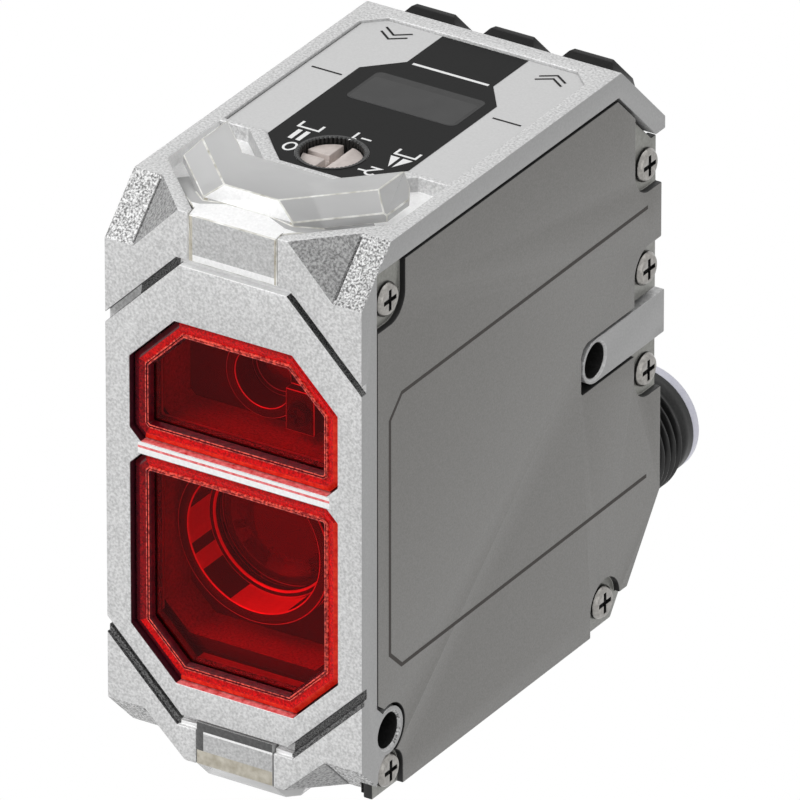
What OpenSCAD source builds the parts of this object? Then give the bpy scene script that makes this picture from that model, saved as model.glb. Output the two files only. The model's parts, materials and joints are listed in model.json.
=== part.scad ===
// Laser photoelectric sensor: a die-cast housing closed by a screwed side cover, two red optical windows,
// an operating panel with a display, a dial and three keys, and a swivelling round plug
// at the lower rear corner.
// X runs across the housing, Y from the front face to the back, Z up.
// The origin is on the axis of the rear fixing hole, halfway across the housing.

/* [Housing] */
// Width across the two sides
body_w = 27.3; // [27:0.1:30]
// Height from the base to the top frame
body_h = 56; // [55.5:0.1:60]
// Depth from the front face to the rear face
body_d = 51.2; // [51:0.1:56]
// Wall thickness of the left side, the base and the rear
wall = 2; // [1.7:0.1:2.2]
// Thickness of the front wall around the windows
front_wall = 3.6; // [3.4:0.1:4]
// Thickness of the top wall
top_wall = 2.6; // [2.5:0.1:2.8]
// Height and depth of the 45 degree slope that carries the keys
slope = 7.65; // [7.4:0.05:8]
// Overhang of the top frame past the rear face
lip = 0.5; // [0.3:0.1:0.8]
// Height of the top frame where it overlaps the side cover
band = 2.4; // [2:0.1:2.5]
// Depth of the front strip beside the side cover
strip = 2.6; // [2.2:0.1:3]
// Depth of the chamfer at the lower rear corner
corner_y = 7.6; // [7:0.1:8.2]
// Height of the chamfer at the lower rear corner
corner_z = 10.2; // [9.6:0.1:10.8]

/* [Front face] */
// Height of the lower edge of the eight-sided front plate
plate_low = 4.2; // [4:0.1:4.6]
// Distance from the top of the housing down to the front plate
plate_drop = 5.2; // [5:0.1:5.6]
// Size of the front plate's 45 degree corners
plate_corner = 7.8; // [7.4:0.1:8.2]
// Width of the groove around the front plate
groove_w = 0.7; // [0.4:0.1:0.9]
// Depth of the groove around the front plate
groove_t = 0.8; // [0.4:0.1:1]
// Depth of the bevels at the two upper front corners
top_bevel = 5; // [4.4:0.1:5.4]
// Depth of the bevels at the two lower front corners
low_bevel = 4.15; // [3.6:0.05:4.4]

/* [Windows] */
// Distance from both windows to the sides of the housing
window_margin = 2.7; // [2.6:0.05:3]
// Height of the lower window's lower edge
low_window_z = 7.8; // [7.6:0.1:8.4]
// Height of the lower window
low_window_h = 22.2; // [21.6:0.1:22.6]
// Height of the upper window
high_window_h = 13; // [12.6:0.1:13.4]
// Width of the housing's rib between the two windows
rib_w = 1.3; // [1:0.1:1.6]
// Size of the large 45 degree window corners
window_corner = 4.75; // [4:0.05:5]
// Size of the small 45 degree window corners
window_nip = 1.1; // [1.1:0.05:1.4]
// Thickness of the window panes' rims
window_t = 1.5; // [1.3:0.1:1.7]
// Depth of the trays inside the rims
window_tray = 1.2; // [0.6:0.1:1.4]
// Width of the lip that the windows seat on
window_lip = 1.6; // [1.3:0.1:1.6]

/* [Side cover] */
// Thickness of the side cover
cover_t = 1.6; // [1.4:0.1:1.8]
// Thickness of the cover's flange under the screw heads
flange_t = 0.95; // [0.4:0.05:1.1]
// Thickness of the gasket under the cover
gasket_t = 0.4; // [0.3:0.1:0.5]
// Gap between the cover and the frame around it
cover_gap = 0.3; // [0.2:0.05:0.4]
// Radius of the cover screws' shanks
screw_r = 0.8; // [0.7:0.05:0.9]
// Radius of the cover screws' heads
head_r = 1.65; // [1.4:0.05:1.75]

/* [Fixing holes] */
// Radius of the two through holes
hole_r = 1.7; // [1.6:0.05:1.8]
// Depth of the lower hole behind the front face
hole_a_y = 4.6; // [4.4:0.05:4.8]
// Height of the lower hole
hole_a_z = 6.45; // [6.3:0.05:6.5]
// Distance between the two holes along the housing's depth
hole_dy = 35.25; // [35:0.05:35.5]
// Distance between the two holes along the housing's height
hole_dz = 21.95; // [21.5:0.05:22.5]

/* [Operating panel] */
// Depth of the recess that holds the panel sheet
label_t = 0.6; // [0.5:0.05:0.7]
// Thickness of the panel sheet
sheet_t = 0.3; // [0.2:0.05:0.4]
// Width of the display pane
display_w = 11.8; // [11:0.1:12.4]
// Length of the display pane
display_l = 5.9; // [5.2:0.1:6.2]
// Distance from the front face to the display pane's middle
display_y = 30.15; // [29.5:0.05:31]
// Distance from the front face to the dial
dial_y = 17.2; // [17:0.1:17.6]
// Radius of the hole around the dial
dial_hole_r = 3.35; // [3.3:0.05:3.5]
// Radius of the dial
dial_r = 2.85; // [2.7:0.05:2.9]
// Distance from the outer keys to the sides of the housing
key_margin = 2.15; // [2.1:0.05:2.3]
// Width of a key at its foot
key_w = 6.1; // [5.8:0.1:6.2]
// Length of a key down the slope
key_l = 6; // [5.6:0.1:6.2]
// Height of a key above the slope
key_rise = 1.85; // [1.5:0.05:2.1]
// Travel of a key
key_travel = 0.4; // [0.3:0.05:0.5]

/* [Indicators] */
// Height of the upper light strip above the housing
light_rise = 2; // [1.6:0.1:2.2]
// Width of the upper light strip on the front face
light_w = 9.5; // [9:0.1:10]
// Width of the lower light strip on the front face
low_light_w = 8.1; // [7.8:0.1:8.6]
// Height of the lower light strip on the front face
low_light_h = 4.35; // [4:0.05:4.4]
// Thickness of the lower light strip under the base
low_light_t = 2; // [1.6:0.1:2.2]

/* [Optics] */
// Radius of the receiving lens
receiver_r = 6.95; // [6.6:0.05:7]
// Radius of the emitter's lens
emitter_r = 2.95; // [2.6:0.05:3]

/* [Plug] */
// Height of the plug's axis above the base
plug_z = 4.8; // [4.6:0.1:5]
// Outside radius of the plug's M12 thread
thread_r = 6; // [5.8:0.05:6.1]
// Length of the plug from the swivel's centre
plug_l = 24.5; // [23:0.1:28]
// Radius of the round neck of the plug
neck_r = 5.8; // [5.4:0.1:5.9]
// Radius of the swivel's spigot
spigot_r = 3.6; // [3.3:0.1:3.8]

/* [Hidden] */
$fn = 64;
half_w = body_w / 2;
// Sliding clearance of pieces that seat in the casting
fit = 0.05;
// Clearance round panes and lenses
pane_gap = 0.1;
// Where the cover's recess begins, and where the cover and its flange lie
rim_x = half_w - cover_t - gasket_t;
cover_x = half_w - cover_t;
flange_x = cover_x + flange_t;
in_x = half_w - wall;
back_y = body_d + lip;
slope_sum = back_y - slope + body_h;
lip_z = body_h - slope - 1.25;
slope_wall = 2.2;
ceiling_z = body_h - top_wall;
// How a 45 degree corner grows when its outline is set out by one
corner_gain = 2 - sqrt(2);

side_outline = [
    [0, 0],
    [body_d - corner_y, 0],
    [body_d, corner_z],
    [body_d, lip_z],
    [back_y, lip_z],
    [back_y, body_h - slope],
    [back_y - slope, body_h],
    [0, body_h]
];

// The recess for the cover, open at the base and at the rear
band_sum = slope_sum - 2 * sqrt(2);
recess_outline = [
    [strip, -1],
    [back_y + 2, -1],
    [back_y + 2, lip_z],
    [band_sum - lip_z, lip_z],
    [band_sum - body_h + band, body_h - band],
    [strip, body_h - band]
];

// The cavity keeps one wall's thickness from the outside all round
corner_l = norm([corner_y, corner_z]);
corner_start = body_d - corner_y;
cavity_sum = slope_sum - slope_wall * sqrt(2);
cavity_back = body_d - wall;
cavity_outline = [
    [front_wall, wall],
    [corner_start + wall * (corner_y - corner_l) / corner_z, wall],
    [cavity_back, ((corner_y - wall) * corner_z + wall * corner_l) / corner_y],
    [cavity_back, cavity_sum - cavity_back],
    [cavity_sum - ceiling_z, ceiling_z],
    [front_wall, ceiling_z]
];

// A ledge along the outer edge of the groove's lower half
groove_ledge = 0.4;

// The upper and lower front corners: where the bevel's inner edge meets the front face,
// and where its outer edge does
top_facet = [3.05, 7.85];
low_facet = [3.95, 8.35];

// Cover screws: place in Y and Z, the sides on which each pocket is open, the pocket's radius and the side on
// which only its lower quarter is open
rear_row = body_d - 2.15;
bar_h = 4.4;
hole_a = [hole_a_y, hole_a_z];
hole_b = [hole_a_y + hole_dy, hole_a_z + hole_dz];
screws = [
    [[4.8, body_h - 5.85], [-1, 1], 2.5, 0],
    [[rear_row, lip_z - 2.75], [1, 1], 2.5, 0],
    [[rear_row, hole_b[1] + 5.35], [1, -1], 2.5, 0],
    [[rear_row, hole_b[1] - 5.05], [1, 1], 2.5, 0],
    [[corner_start - 1.95, 2.55], [0, -1], 2.5, 1],
    [[4.9, 2.2], [-1, -1], 2, 0]
];
post_r = 2;
ring_r = 2.35;
boss_r = 3.6;

// Windows
window_hw = half_w - window_margin;
high_window_z = low_window_z + low_window_h + rib_w + 2 * pane_gap;
window_y = 0.45;
seal_t = 0.45;
tray_y = window_y + window_tray;
tray_wall = 0.15;
tray_floor = 1.2;
pocket_t = window_y + window_t + seal_t;

// Upper light strip: the outline of its flat foot, from the front edge round both shoulders to the arms
light_hw = light_w / 2;
light_side = half_w - 1.55;
light_end = dial_y - 0.4;
light_in = dial_y - dial_hole_r - 4.6;
light_bed = 1.5;
light_foot = 51.1;
light_front_t = 1.6;
light_leg = [6, light_in - 1.9];
light_leg_r = 0.8;
top_led_y = light_leg[1] + 0.5;
shoulder = 0.8;
foot_in = 2.25;
foot_gap = light_in + foot_in - 3.7;
light_half = [
    [light_hw, 0],
    [light_hw, shoulder],
    [light_side, light_side - light_hw + shoulder],
    [light_side, light_end],
    [light_end - foot_gap, light_end],
    [light_in + foot_in - foot_gap, light_in + foot_in]
];
light_outline = concat(light_half, [for (i = [5:-1:0]) [-light_half[i][0], light_half[i][1]]]);

// Its raised bar stands back from the foot's edges and ends in blunt arms
bar_back = 1.25;
bar_front = 2.6;
bar_gap = 4.5;
bar_side = light_side - bar_back;
bar_half = [
    [light_hw, bar_front],
    [bar_side, bar_side - light_hw + bar_front],
    [bar_side, light_end - 4.4],
    [bar_side - 0.55, light_end - 3.4],
    [light_end - 2.9 - bar_gap, light_end - 2.9],
    [light_in - bar_gap, light_in]
];
light_bar = concat(bar_half, [for (i = [5:-1:0]) [-bar_half[i][0], bar_half[i][1]]]);

// Panel sheet: a rib of the housing parts it from the light strip, and it keeps clear of the frame
sheet_side = half_w - 1.65;
sheet_front = light_end + 0.6;
sheet_back = back_y - slope - 1.85;
sheet_gap = 9.8;
sheet_half = [
    [light_in + 3.85 - sheet_gap, light_in + 3.85],
    [sheet_front - sheet_gap, sheet_front],
    [sheet_side, sheet_front],
    [sheet_side, sheet_back - 1.9],
    [sheet_side - 2, sheet_back]
];
sheet_outline = concat(sheet_half, [for (i = [4:-1:0]) [-sheet_half[i][0], sheet_half[i][1]]]);
sheet_z = body_h - label_t;
dial_x = -0.4;
display_x = 0.4;

// Boards
board_t = 1;
panel_board_z = ceiling_z - 4;
panel_board_top = panel_board_z + board_t;
sensor_board_y = 21.6;
main_board_x = -in_x + 1.65;
main_face_x = main_board_x + board_t;
main_top = panel_board_z - 6.4;
main_front = sensor_board_y + 3.4;
panel_back = back_y - slope - 5.45;
front_post = main_front + 3;
rear_post = cavity_back - 3.7;
board_posts = [[front_post, 8], [front_post, main_top - 4], [rear_post, 18], [rear_post, main_top - 5]];
board_screw_r = 0.6;
processor_w = 9;
processor_z = 11;
processor_back = rear_post - 5.5;

// Optics
chassis_hw = in_x - 0.15;
chassis_low = hole_a_z + boss_r + 0.15;
chassis_top = panel_board_z - 3.4;
chamber_y = 8;
chassis_back = 20;
receiver_x = -0.6;
receiver_z = low_window_z + 14;
emitter_z = high_window_z + 6.9;
barrel_r = receiver_r + 1.2;
barrel_front = 4.8;
lens_seat = barrel_front + 6.2;
holder_r = emitter_r + 1.05;
ear_y = 4.6;
ear_low = [3, emitter_z - 3.9];
ear_high = [6.05, emitter_z + 0.3];
ear_screw = [4.6, emitter_z - 1.9];

// Keys, in a frame whose Z axis leaves the slope
key_pitch = half_w - key_w / 2 - key_margin;
key_y = 0.3;
key_bevel = 0.46;
key_gap = 0.12;
key_flange_t = 0.75;
key_flange_top = -slope_wall - fit;
key_foot = key_flange_top - key_flange_t;
key_board_z = -6.4;
key_post_x = key_pitch / 2;

// Swivel: its axis leaves the corner at 45 degrees, through the plug's axis
pivot_y = back_y - plug_z;
swivel_seat = 1.5;
swivel_gap = 0.1;
turret_r = 6.2;
turret_t = 3;
neck_l = 9.2;
shell_y = pivot_y + neck_l;
plug_end = pivot_y + plug_l;
end_ring_t = 1.1;
collar_l = 1.6;
thread_end = plug_end - end_ring_t - collar_l;
socket_r = thread_r - 1.65;
insert_y = shell_y + 0.9;
insert_l = 5;
pin_circle = 2.75;
pin_r = 0.5;

// Profiles drawn in Y and Z, extruded across the housing from x0 to x1
module across(x0, x1) {
    translate([x0, 0, 0]) rotate([90, 0, 90]) linear_extrude(x1 - x0) children();
}

// Profiles drawn in X and Z, extruded from the front from y0 to y1
module along(y0, y1) {
    translate([0, y1, 0]) rotate([90, 0, 0]) linear_extrude(y1 - y0) children();
}

// Profiles drawn in X and Y, extruded upward from z0 to z1
module upward(z0, z1) {
    translate([0, 0, z0]) linear_extrude(z1 - z0) children();
}

// A round bar across the housing, at p in Y and Z
module x_bar(p, r, x0, x1) {
    translate([x0, p[0], p[1]]) rotate([0, 90, 0]) cylinder(r = r, h = x1 - x0);
}

// A round bar from front to back, at x and z
module y_bar(x, z, r, y0, y1) {
    translate([x, y0, z]) rotate([-90, 0, 0]) cylinder(r = r, h = y1 - y0);
}

// A block between two corners
module block(low, high) {
    translate(low) cube(high - low);
}

// Everything on the side of the plane through p that its normal n points to
module half_space(p, n, size = 80) {
    translate(p)
        rotate([0, acos(n[2] / norm(n)), atan2(n[1], n[0])])
            translate([-size / 2, -size / 2, 0])
                cube(size);
}

// Pieces are drawn with the front face at Y = 0 and the base at Z = 0, then moved to the origin
module placed() {
    translate([0, -hole_b[0], -hole_b[1]]) children();
}

// Frame of the slope: X across, Y down the slope, Z out of it
module on_slope() {
    translate([0, back_y - slope / 2, body_h - slope / 2]) rotate([-45, 0, 0]) children();
}

// Frame of the swivel: Z out of the lower rear corner
module on_swivel() {
    translate([0, pivot_y, plug_z]) rotate([-135, 0, 0]) children();
}

// A rectangle with 45 degree corners, drawn in X and Z
function chamfered(hw, z0, z1, low, high) = [
    [hw - low, z0], [hw, z0 + low], [hw, z1 - high], [hw - high, z1],
    [high - hw, z1], [-hw, z1 - high], [-hw, z0 + low], [low - hw, z0]
];

// Window outlines, set out by e
function low_window(e) = chamfered(window_hw + e, low_window_z - e, low_window_z + low_window_h + e,
    window_corner + corner_gain * e, window_nip + corner_gain * e);
function high_window(e) = chamfered(window_hw + e, high_window_z - e, high_window_z + high_window_h + e,
    window_nip + corner_gain * e, window_corner + corner_gain * e);

// The front plate's outline, set out by e and run past both sides of the housing
function plate(e) = chamfered(half_w + 1 + e, plate_low - e, body_h - plate_drop + e,
    plate_corner + 1 + corner_gain * e, plate_corner + 1 + corner_gain * e);

// The cut at an upper front corner: a bevel across the corner and a three-sided facet inside it
module front_corner(depth, facet) {
    dx = facet[1] - facet[0];
    intersection() {
        across(half_w - facet[1] - 1, half_w + 1)
            polygon([[-depth / 2, -1.5 * depth], [1.5 * depth, depth / 2], [-depth / 2, depth / 2]]);
        half_space([half_w - facet[0], 0, -depth], [depth, -dx, dx]);
    }
}

module both_sides() {
    children();
    mirror([1, 0, 0]) children();
}

// A pocket round a screw head, open towards way in Y and Z
module pocket(p, way, r, quarter) {
    translate(p) {
        circle(r);
        if (quarter != 0) translate([min(0, 10 * quarter), -10]) square([10, 10]);
        translate([-r, min(0, 10 * way[1])]) square([2 * r, 10]);
        if (way[0] != 0) {
            translate([min(0, 10 * way[0]), -r]) square([10, 2 * r]);
            translate([min(0, 10 * way[0]), min(0, 10 * way[1])]) square([10, 10]);
        }
    }
}

// The bar that carries the upper fixing hole, drawn in Y and Z and set out by e
module bar_outline(e) {
    translate(hole_b) circle(bar_h / 2 + e);
    translate([hole_b[0], hole_b[1] - bar_h / 2 - e]) square([back_y - hole_b[0] + 2 * e, bar_h + 2 * e]);
}

// The opening in the cover round that bar: its front end is square, with its upper corner cut
module bar_opening(e) {
    front = hole_b[0] - bar_h / 2 - e;
    low = hole_b[1] - bar_h / 2 - e;
    high = hole_b[1] + bar_h / 2 + e;
    rear = back_y + e;
    polygon([
        [front + 1.1, high], [front + 0.35, high - 0.35], [front, high - 1.1],
        [front, low + 0.25], [front + 0.25, low], [rear, low], [rear, high]
    ]);
}

// The front strip widens round the lower fixing hole and follows the screw head below it
module front_fill(e) {
    low_screw = screws[5][0];
    difference() {
        polygon([
            [strip - 0.8, hole_a[1] + 3.1 + e], [strip + 0.05, hole_a[1] + 3.1 + e],
            [hole_a[0] - 1 + e, hole_a[1] + 2.15 + e], hole_a,
            [low_screw[0] - 0.3, low_screw[1] + 2], [low_screw[0] - 1.5, low_screw[1] + 0.8],
            [low_screw[0] - 1.95, low_screw[1] - 0.3 - e], [strip - 0.8, low_screw[1] - 0.3 - e]
        ]);
        translate(low_screw) circle(2.15 - e);
    }
}

module housing_shell() {
    difference() {
        across(-half_w, half_w) polygon(side_outline);
        across(rim_x, half_w + 1) polygon(recess_outline);
        across(-in_x, half_w + 1) polygon(cavity_outline);
    }
}

module housing_bosses() {
    x_bar(hole_a, boss_r, -half_w + 1, rim_x);
    x_bar(hole_a, ring_r, rim_x - 1, half_w);
    x_bar(hole_b, boss_r, -half_w + 1, rim_x);
    across(rim_x - 1, half_w) bar_outline(0);
    across(rim_x - 1, half_w) front_fill(0);
    across(rim_x - 6, rim_x)
        translate([hole_b[0], hole_b[1] - boss_r])
            square([cavity_back - hole_b[0] + 0.5, 2 * boss_r]);
    for (s = screws) x_bar(s[0], post_r, rim_x - 6, rim_x);
    for (p = board_posts) x_bar(p, 1.5, -in_x - 0.5, main_board_x);
    both_sides() on_slope() translate([key_post_x, 0, key_board_z]) cylinder(r = 0.9, h = 5);
    both_sides() block([3.6, 8.4, wall - 0.5], [5, 13.8, wall + 0.9]);
    on_swivel() translate([0, 0, -turret_t]) cylinder(r = turret_r, h = turret_t + swivel_seat);
}

module front_cuts() {
    along(-1, pocket_t) polygon(low_window(pane_gap));
    along(-1, pocket_t) polygon(high_window(pane_gap));
    along(-1, front_wall + 0.5) polygon(low_window(-window_lip));
    along(-1, front_wall + 0.5) polygon(high_window(-window_lip));
    along(-1, groove_t) difference() {
        polygon(plate(groove_w / 2));
        polygon(plate(-groove_w / 2));
    }
    along(-1, groove_t / 2) difference() {
        polygon(plate(groove_w / 2 + groove_ledge));
        polygon(plate(0));
        translate([-half_w - 1, body_h / 2]) square([body_w + 2, body_h]);
    }
    both_sides() translate([0, 0, body_h]) front_corner(top_bevel, top_facet);
    both_sides() mirror([0, 0, 1]) front_corner(low_bevel, low_facet);
    block([-low_light_w / 2 - pane_gap, -1, -1],
        [low_light_w / 2 + pane_gap, light_front_t, low_light_h + 0.05]);
}

module top_cuts() {
    upward(sheet_z, body_h + 1) polygon(sheet_outline);
    upward(body_h - light_bed, body_h + 1) polygon(light_outline);
    block([-light_hw, -1, light_foot], [light_hw, light_front_t, body_h + 1]);
    both_sides() translate([light_leg[0], light_leg[1], ceiling_z - 1])
        cylinder(r = light_leg_r + pane_gap, h = 3);
    translate([dial_x, dial_y, ceiling_z - 1]) cylinder(r = dial_hole_r, h = 5);
    display_block(pane_gap, ceiling_z - 1, body_h);
    for (i = [-1:1]) on_slope()
        translate([i * key_pitch - key_w / 2 - key_gap, key_y - key_l / 2 - key_gap, -slope_wall - 1])
            cube([key_w + 2 * key_gap, key_l + 2 * key_gap, slope_wall + 2]);
}

// The display pane's outline, set out by e, from z0 to z1
module display_block(e, z0, z1) {
    block([display_x - display_w / 2 - e, display_y - display_l / 2 - e, z0],
        [display_x + display_w / 2 + e, display_y + display_l / 2 + e, z1]);
}

// A through hole with a small chamfer at both ends
module fixing_hole(p) {
    x_bar(p, hole_r, -half_w - 1, half_w + 1);
    both_sides() translate([half_w - 0.25, p[0], p[1]]) rotate([0, 90, 0])
        cylinder(r1 = hole_r, r2 = hole_r + 0.5, h = 0.5);
}

module housing_holes() {
    fixing_hole(hole_a);
    fixing_hole(hole_b);
    for (s = screws) x_bar(s[0], screw_r + 0.02, rim_x - 5, rim_x + 1);
    for (p = board_posts) x_bar(p, board_screw_r + 0.02, -in_x - 1, main_board_x + 1);
    translate([0, 10, -1]) cylinder(r = 1.5, h = wall + 2);
    on_swivel() translate([0, 0, -turret_t - 1]) cylinder(r = spigot_r + fit, h = turret_t + swivel_seat + 2);
    on_swivel() translate([0, 0, swivel_seat - 1]) difference() {
        cylinder(r = spigot_r + 1.8, h = 2);
        translate([0, 0, -1]) cylinder(r = spigot_r + 0.8, h = 4);
    }
}

module housing() {
    color("gainsboro") placed() difference() {
        union() {
            housing_shell();
            housing_bosses();
        }
        front_cuts();
        top_cuts();
        housing_holes();
    }
}

// The cover's outline, set in by e
module cover_outline(e) {
    edge = strip + 0.1 + e;
    cover_back = body_d - 0.05 - e;
    cover_top = body_h - band - cover_gap - e;
    cover_sum = band_sum - cover_gap * sqrt(2) - e * sqrt(2);
    polygon([
        [edge, e],
        [corner_start - e, e],
        [cover_back, corner_z + e],
        [cover_back, lip_z - 0.6 - e],
        [cover_sum - lip_z + 0.6 + e, lip_z - 0.6 - e],
        [cover_sum - cover_top, cover_top],
        [edge, cover_top]
    ]);
}

module front_opening(e) {
    translate(hole_a) circle(ring_r + e);
    front_fill(e);
}

module side_cover() {
    color("gray") placed() {
        difference() {
            union() {
                across(cover_x, flange_x) cover_outline(0);
                across(flange_x, half_w) difference() {
                    cover_outline(0);
                    for (s = screws) pocket(s[0], s[1], s[2], s[3]);
                }
            }
            across(cover_x - 1, half_w + 1) front_opening(cover_gap);
            across(cover_x - 1, half_w + 1) bar_opening(cover_gap);
            for (s = screws) x_bar(s[0], screw_r + 0.15, cover_x - 1, half_w);
        }
    }
}

module cover_gasket() {
    color("black") placed() across(rim_x, cover_x) difference() {
        cover_outline(0.3);
        front_opening(cover_gap + 0.2);
        bar_outline(cover_gap + 0.2);
        for (s = screws) translate(s[0]) circle(screw_r + 0.15);
        difference() {
            polygon(cavity_outline);
            for (s = screws) translate(s[0]) circle(post_r);
            translate(hole_a) circle(boss_r);
            translate(hole_b) circle(boss_r);
            translate([hole_b[0], hole_b[1] - boss_r]) square([20, 2 * boss_r]);
        }
    }
}

// A pan-head screw that points down: its head sits on Z = 0
module cross_screw(r, shank, head, head_h, slot_w) {
    difference() {
        union() {
            translate([0, 0, -shank]) cylinder(r = r, h = shank + 0.1);
            rotate_extrude() polygon([
                [0, 0], [head, 0], [head, 0.4 * head_h], [0.82 * head, head_h], [0, head_h]
            ]);
        }
        for (a = [0, 90]) rotate([0, 0, a])
            translate([-0.62 * head, -slot_w / 2, 0.4 * head_h])
                cube([1.24 * head, slot_w, head_h]);
    }
}

module cover_screws() {
    color("silver") placed() for (s = screws)
        translate([flange_x, s[0][0], s[0][1]]) rotate([0, 90, 0])
            cross_screw(screw_r, 5, head_r, cover_t - flange_t, 0.4);
}

// A red pane shaped like a tray: a raised edge, a textured rim, a fine ridge and a clear floor inside the lip
module pane(outer, rim, ridge, inner, body) {
    difference() {
        union() {
            along(window_y, window_y + window_t) polygon(outer);
            along(window_y, tray_y + tray_floor) polygon(body);
        }
        along(window_y - 1, tray_y) polygon(inner);
        along(window_y - 1, window_y + 0.2) polygon(rim);
    }
    along(window_y, window_y + 0.3) difference() {
        polygon(ridge);
        polygon(inner);
    }
}

module upper_window() {
    color("red", 0.6) placed() pane(high_window(0), high_window(-0.5), high_window(-1.3),
        high_window(-window_lip - tray_wall - 0.1), high_window(-window_lip - 0.1));
}

module lower_window() {
    color("red", 0.6) placed() pane(low_window(0), low_window(-0.5), low_window(-1.3),
        low_window(-window_lip - tray_wall - 0.1), low_window(-window_lip - 0.1));
}

module window_seal(outer, inner) {
    along(window_y + window_t, pocket_t) difference() {
        polygon(outer);
        polygon(inner);
    }
}

module upper_window_seal() {
    color("black") placed() window_seal(high_window(-0.1), high_window(-window_lip));
}

module lower_window_seal() {
    color("black") placed() window_seal(low_window(-0.1), low_window(-window_lip));
}

module optics_chassis() {
    chamber_hw = window_hw - window_lip;
    low_z = chassis_low + 1.2;
    color("dimgray") placed() {
        difference() {
            block([-chassis_hw, front_wall, chassis_low], [chassis_hw, chassis_back, chassis_top]);
            along(front_wall - 1, chamber_y)
                polygon(chamfered(chamber_hw, low_z, low_window_z + low_window_h - window_lip, 2.6, 0.6));
            y_bar(receiver_x, receiver_z, barrel_r + fit, front_wall - 1, chassis_back + 1);
            along(front_wall - 1, chamber_y)
                polygon(chamfered(chamber_hw, high_window_z + window_lip,
                    high_window_z + high_window_h - window_lip, 0.6, 3.6));
            y_bar(0, emitter_z, holder_r + fit, chamber_y - 1, chassis_back + 1);
            y_bar(ear_screw[0], ear_screw[1], board_screw_r + 0.02, chamber_y - 1, chamber_y + 1.2);
        }
        for (x = [-1, 1], z = [chassis_low + 1.6, chassis_top - 1.6])
            y_bar(x * (chassis_hw - 1.6), z, 1.3, chassis_back - 1, sensor_board_y);
    }
}

// The barrel is turned: rings round its front end, a shoulder behind the lens
module lens_barrel() {
    color("black") placed() translate([receiver_x, barrel_front, receiver_z])
        rotate([-90, 0, 0]) difference() {
        cylinder(r = barrel_r, h = chassis_back - barrel_front + 0.5);
        for (i = [0:2]) translate([0, 0, 0.7 + 1.1 * i]) difference() {
            cylinder(r = barrel_r + 1, h = 0.5);
            translate([0, 0, -1]) cylinder(r = barrel_r - 0.5, h = 3);
        }
        translate([0, 0, -1]) cylinder(r = receiver_r + fit, h = lens_seat - barrel_front + 1);
        cylinder(r = receiver_r - 0.8, h = 20);
    }
}

// A plano-convex lens, its round face towards -Z and its flat face on Z = 0
module convex_lens(r, bend, edge) {
    sag = bend - sqrt(bend * bend - r * r);
    intersection() {
        translate([0, 0, -edge - sag]) cylinder(r = r, h = edge + sag);
        translate([0, 0, bend - edge - sag]) sphere(bend, $fn = 96);
    }
}

module receiver_lens() {
    color("lightcyan", 0.5) placed() translate([receiver_x, lens_seat, receiver_z]) rotate([-90, 0, 0])
        convex_lens(receiver_r, 12, 1.3);
}

module lens_ring() {
    color("dimgray") placed() difference() {
        y_bar(receiver_x, receiver_z, receiver_r, lens_seat - 3, lens_seat - 1.9);
        y_bar(receiver_x, receiver_z, receiver_r - 0.75, lens_seat - 4, lens_seat - 1);
    }
}

module emitter_holder() {
    color("dimgray") placed() difference() {
        union() {
            y_bar(0, emitter_z, holder_r, chamber_y - 2.4, chamber_y + 10);
            block([ear_low[0], ear_y, ear_low[1]], [ear_high[0], chamber_y, ear_high[1]]);
        }
        y_bar(0, emitter_z, emitter_r + fit, chamber_y - 3, chamber_y + 1.4);
        y_bar(0, emitter_z, emitter_r - 0.55, chamber_y, chamber_y + 4.5);
        y_bar(0, emitter_z, 2.85, chamber_y + 4, chamber_y + 11);
        y_bar(ear_screw[0], ear_screw[1], board_screw_r + 0.1, ear_y - 1, chamber_y + 1);
    }
}

module emitter_lens() {
    color("lightcyan", 0.5) placed() translate([0, chamber_y + 1.4, emitter_z]) rotate([-90, 0, 0])
        convex_lens(emitter_r, 6, 1.2);
}

module laser_diode() {
    can_y = chamber_y + 4.4;
    color("gold") placed() {
        y_bar(0, emitter_z, 1.95, can_y, can_y + 2.8);
        y_bar(0, emitter_z, 2.8, can_y + 2.6, can_y + 3.8);
        for (a = [0, 120, 240])
            y_bar(1.27 * cos(a), emitter_z + 1.27 * sin(a), 0.25, can_y + 3.5, sensor_board_y);
    }
}

module holder_screw() {
    color("silver") placed() translate([ear_screw[0], ear_y, ear_screw[1]]) rotate([90, 0, 0])
        cross_screw(board_screw_r, 4, 1.2, 0.8, 0.35);
}

module image_sensor() {
    color("darkslategray") placed()
        block([receiver_x - 3, sensor_board_y - 1, receiver_z - 2],
            [receiver_x + 3, sensor_board_y, receiver_z + 2]);
}

module sensor_board() {
    color("darkgreen") placed()
        block([-chassis_hw, sensor_board_y, chassis_low],
            [chassis_hw, sensor_board_y + board_t, chassis_top]);
}

module main_board() {
    color("darkgreen") placed() difference() {
        across(main_board_x, main_face_x)
            polygon([
                [main_front, 4.5], [corner_start - 2.6, 4.5], [cavity_back - 0.3, corner_z + 2.8],
                [cavity_back - 0.3, main_top], [main_front, main_top]
            ]);
        x_bar(hole_b, boss_r + 0.3, main_board_x - 1, main_face_x + 1);
        for (p = board_posts) x_bar(p, board_screw_r + 0.1, main_board_x - 1, main_face_x + 1);
    }
}

module board_screws() {
    color("silver") placed() for (p = board_posts)
        translate([main_face_x, p[0], p[1]]) rotate([0, 90, 0])
            cross_screw(board_screw_r, board_t + 2.4, 1.2, 0.8, 0.35);
}

module processor() {
    color("black") placed()
        block([main_face_x, processor_back - processor_w, processor_z],
            [main_face_x + 1.1, processor_back, processor_z + processor_w]);
}

module power_coil() {
    color("dimgray") placed() x_bar([main_front + 7, main_top - 9.5], 2.6, main_face_x, main_face_x + 3);
}

module sensor_header() {
    color("ivory") placed()
        block([main_face_x, sensor_board_y + board_t, 14], [main_face_x + 2.6, main_front + 2, 24]);
}

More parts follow.
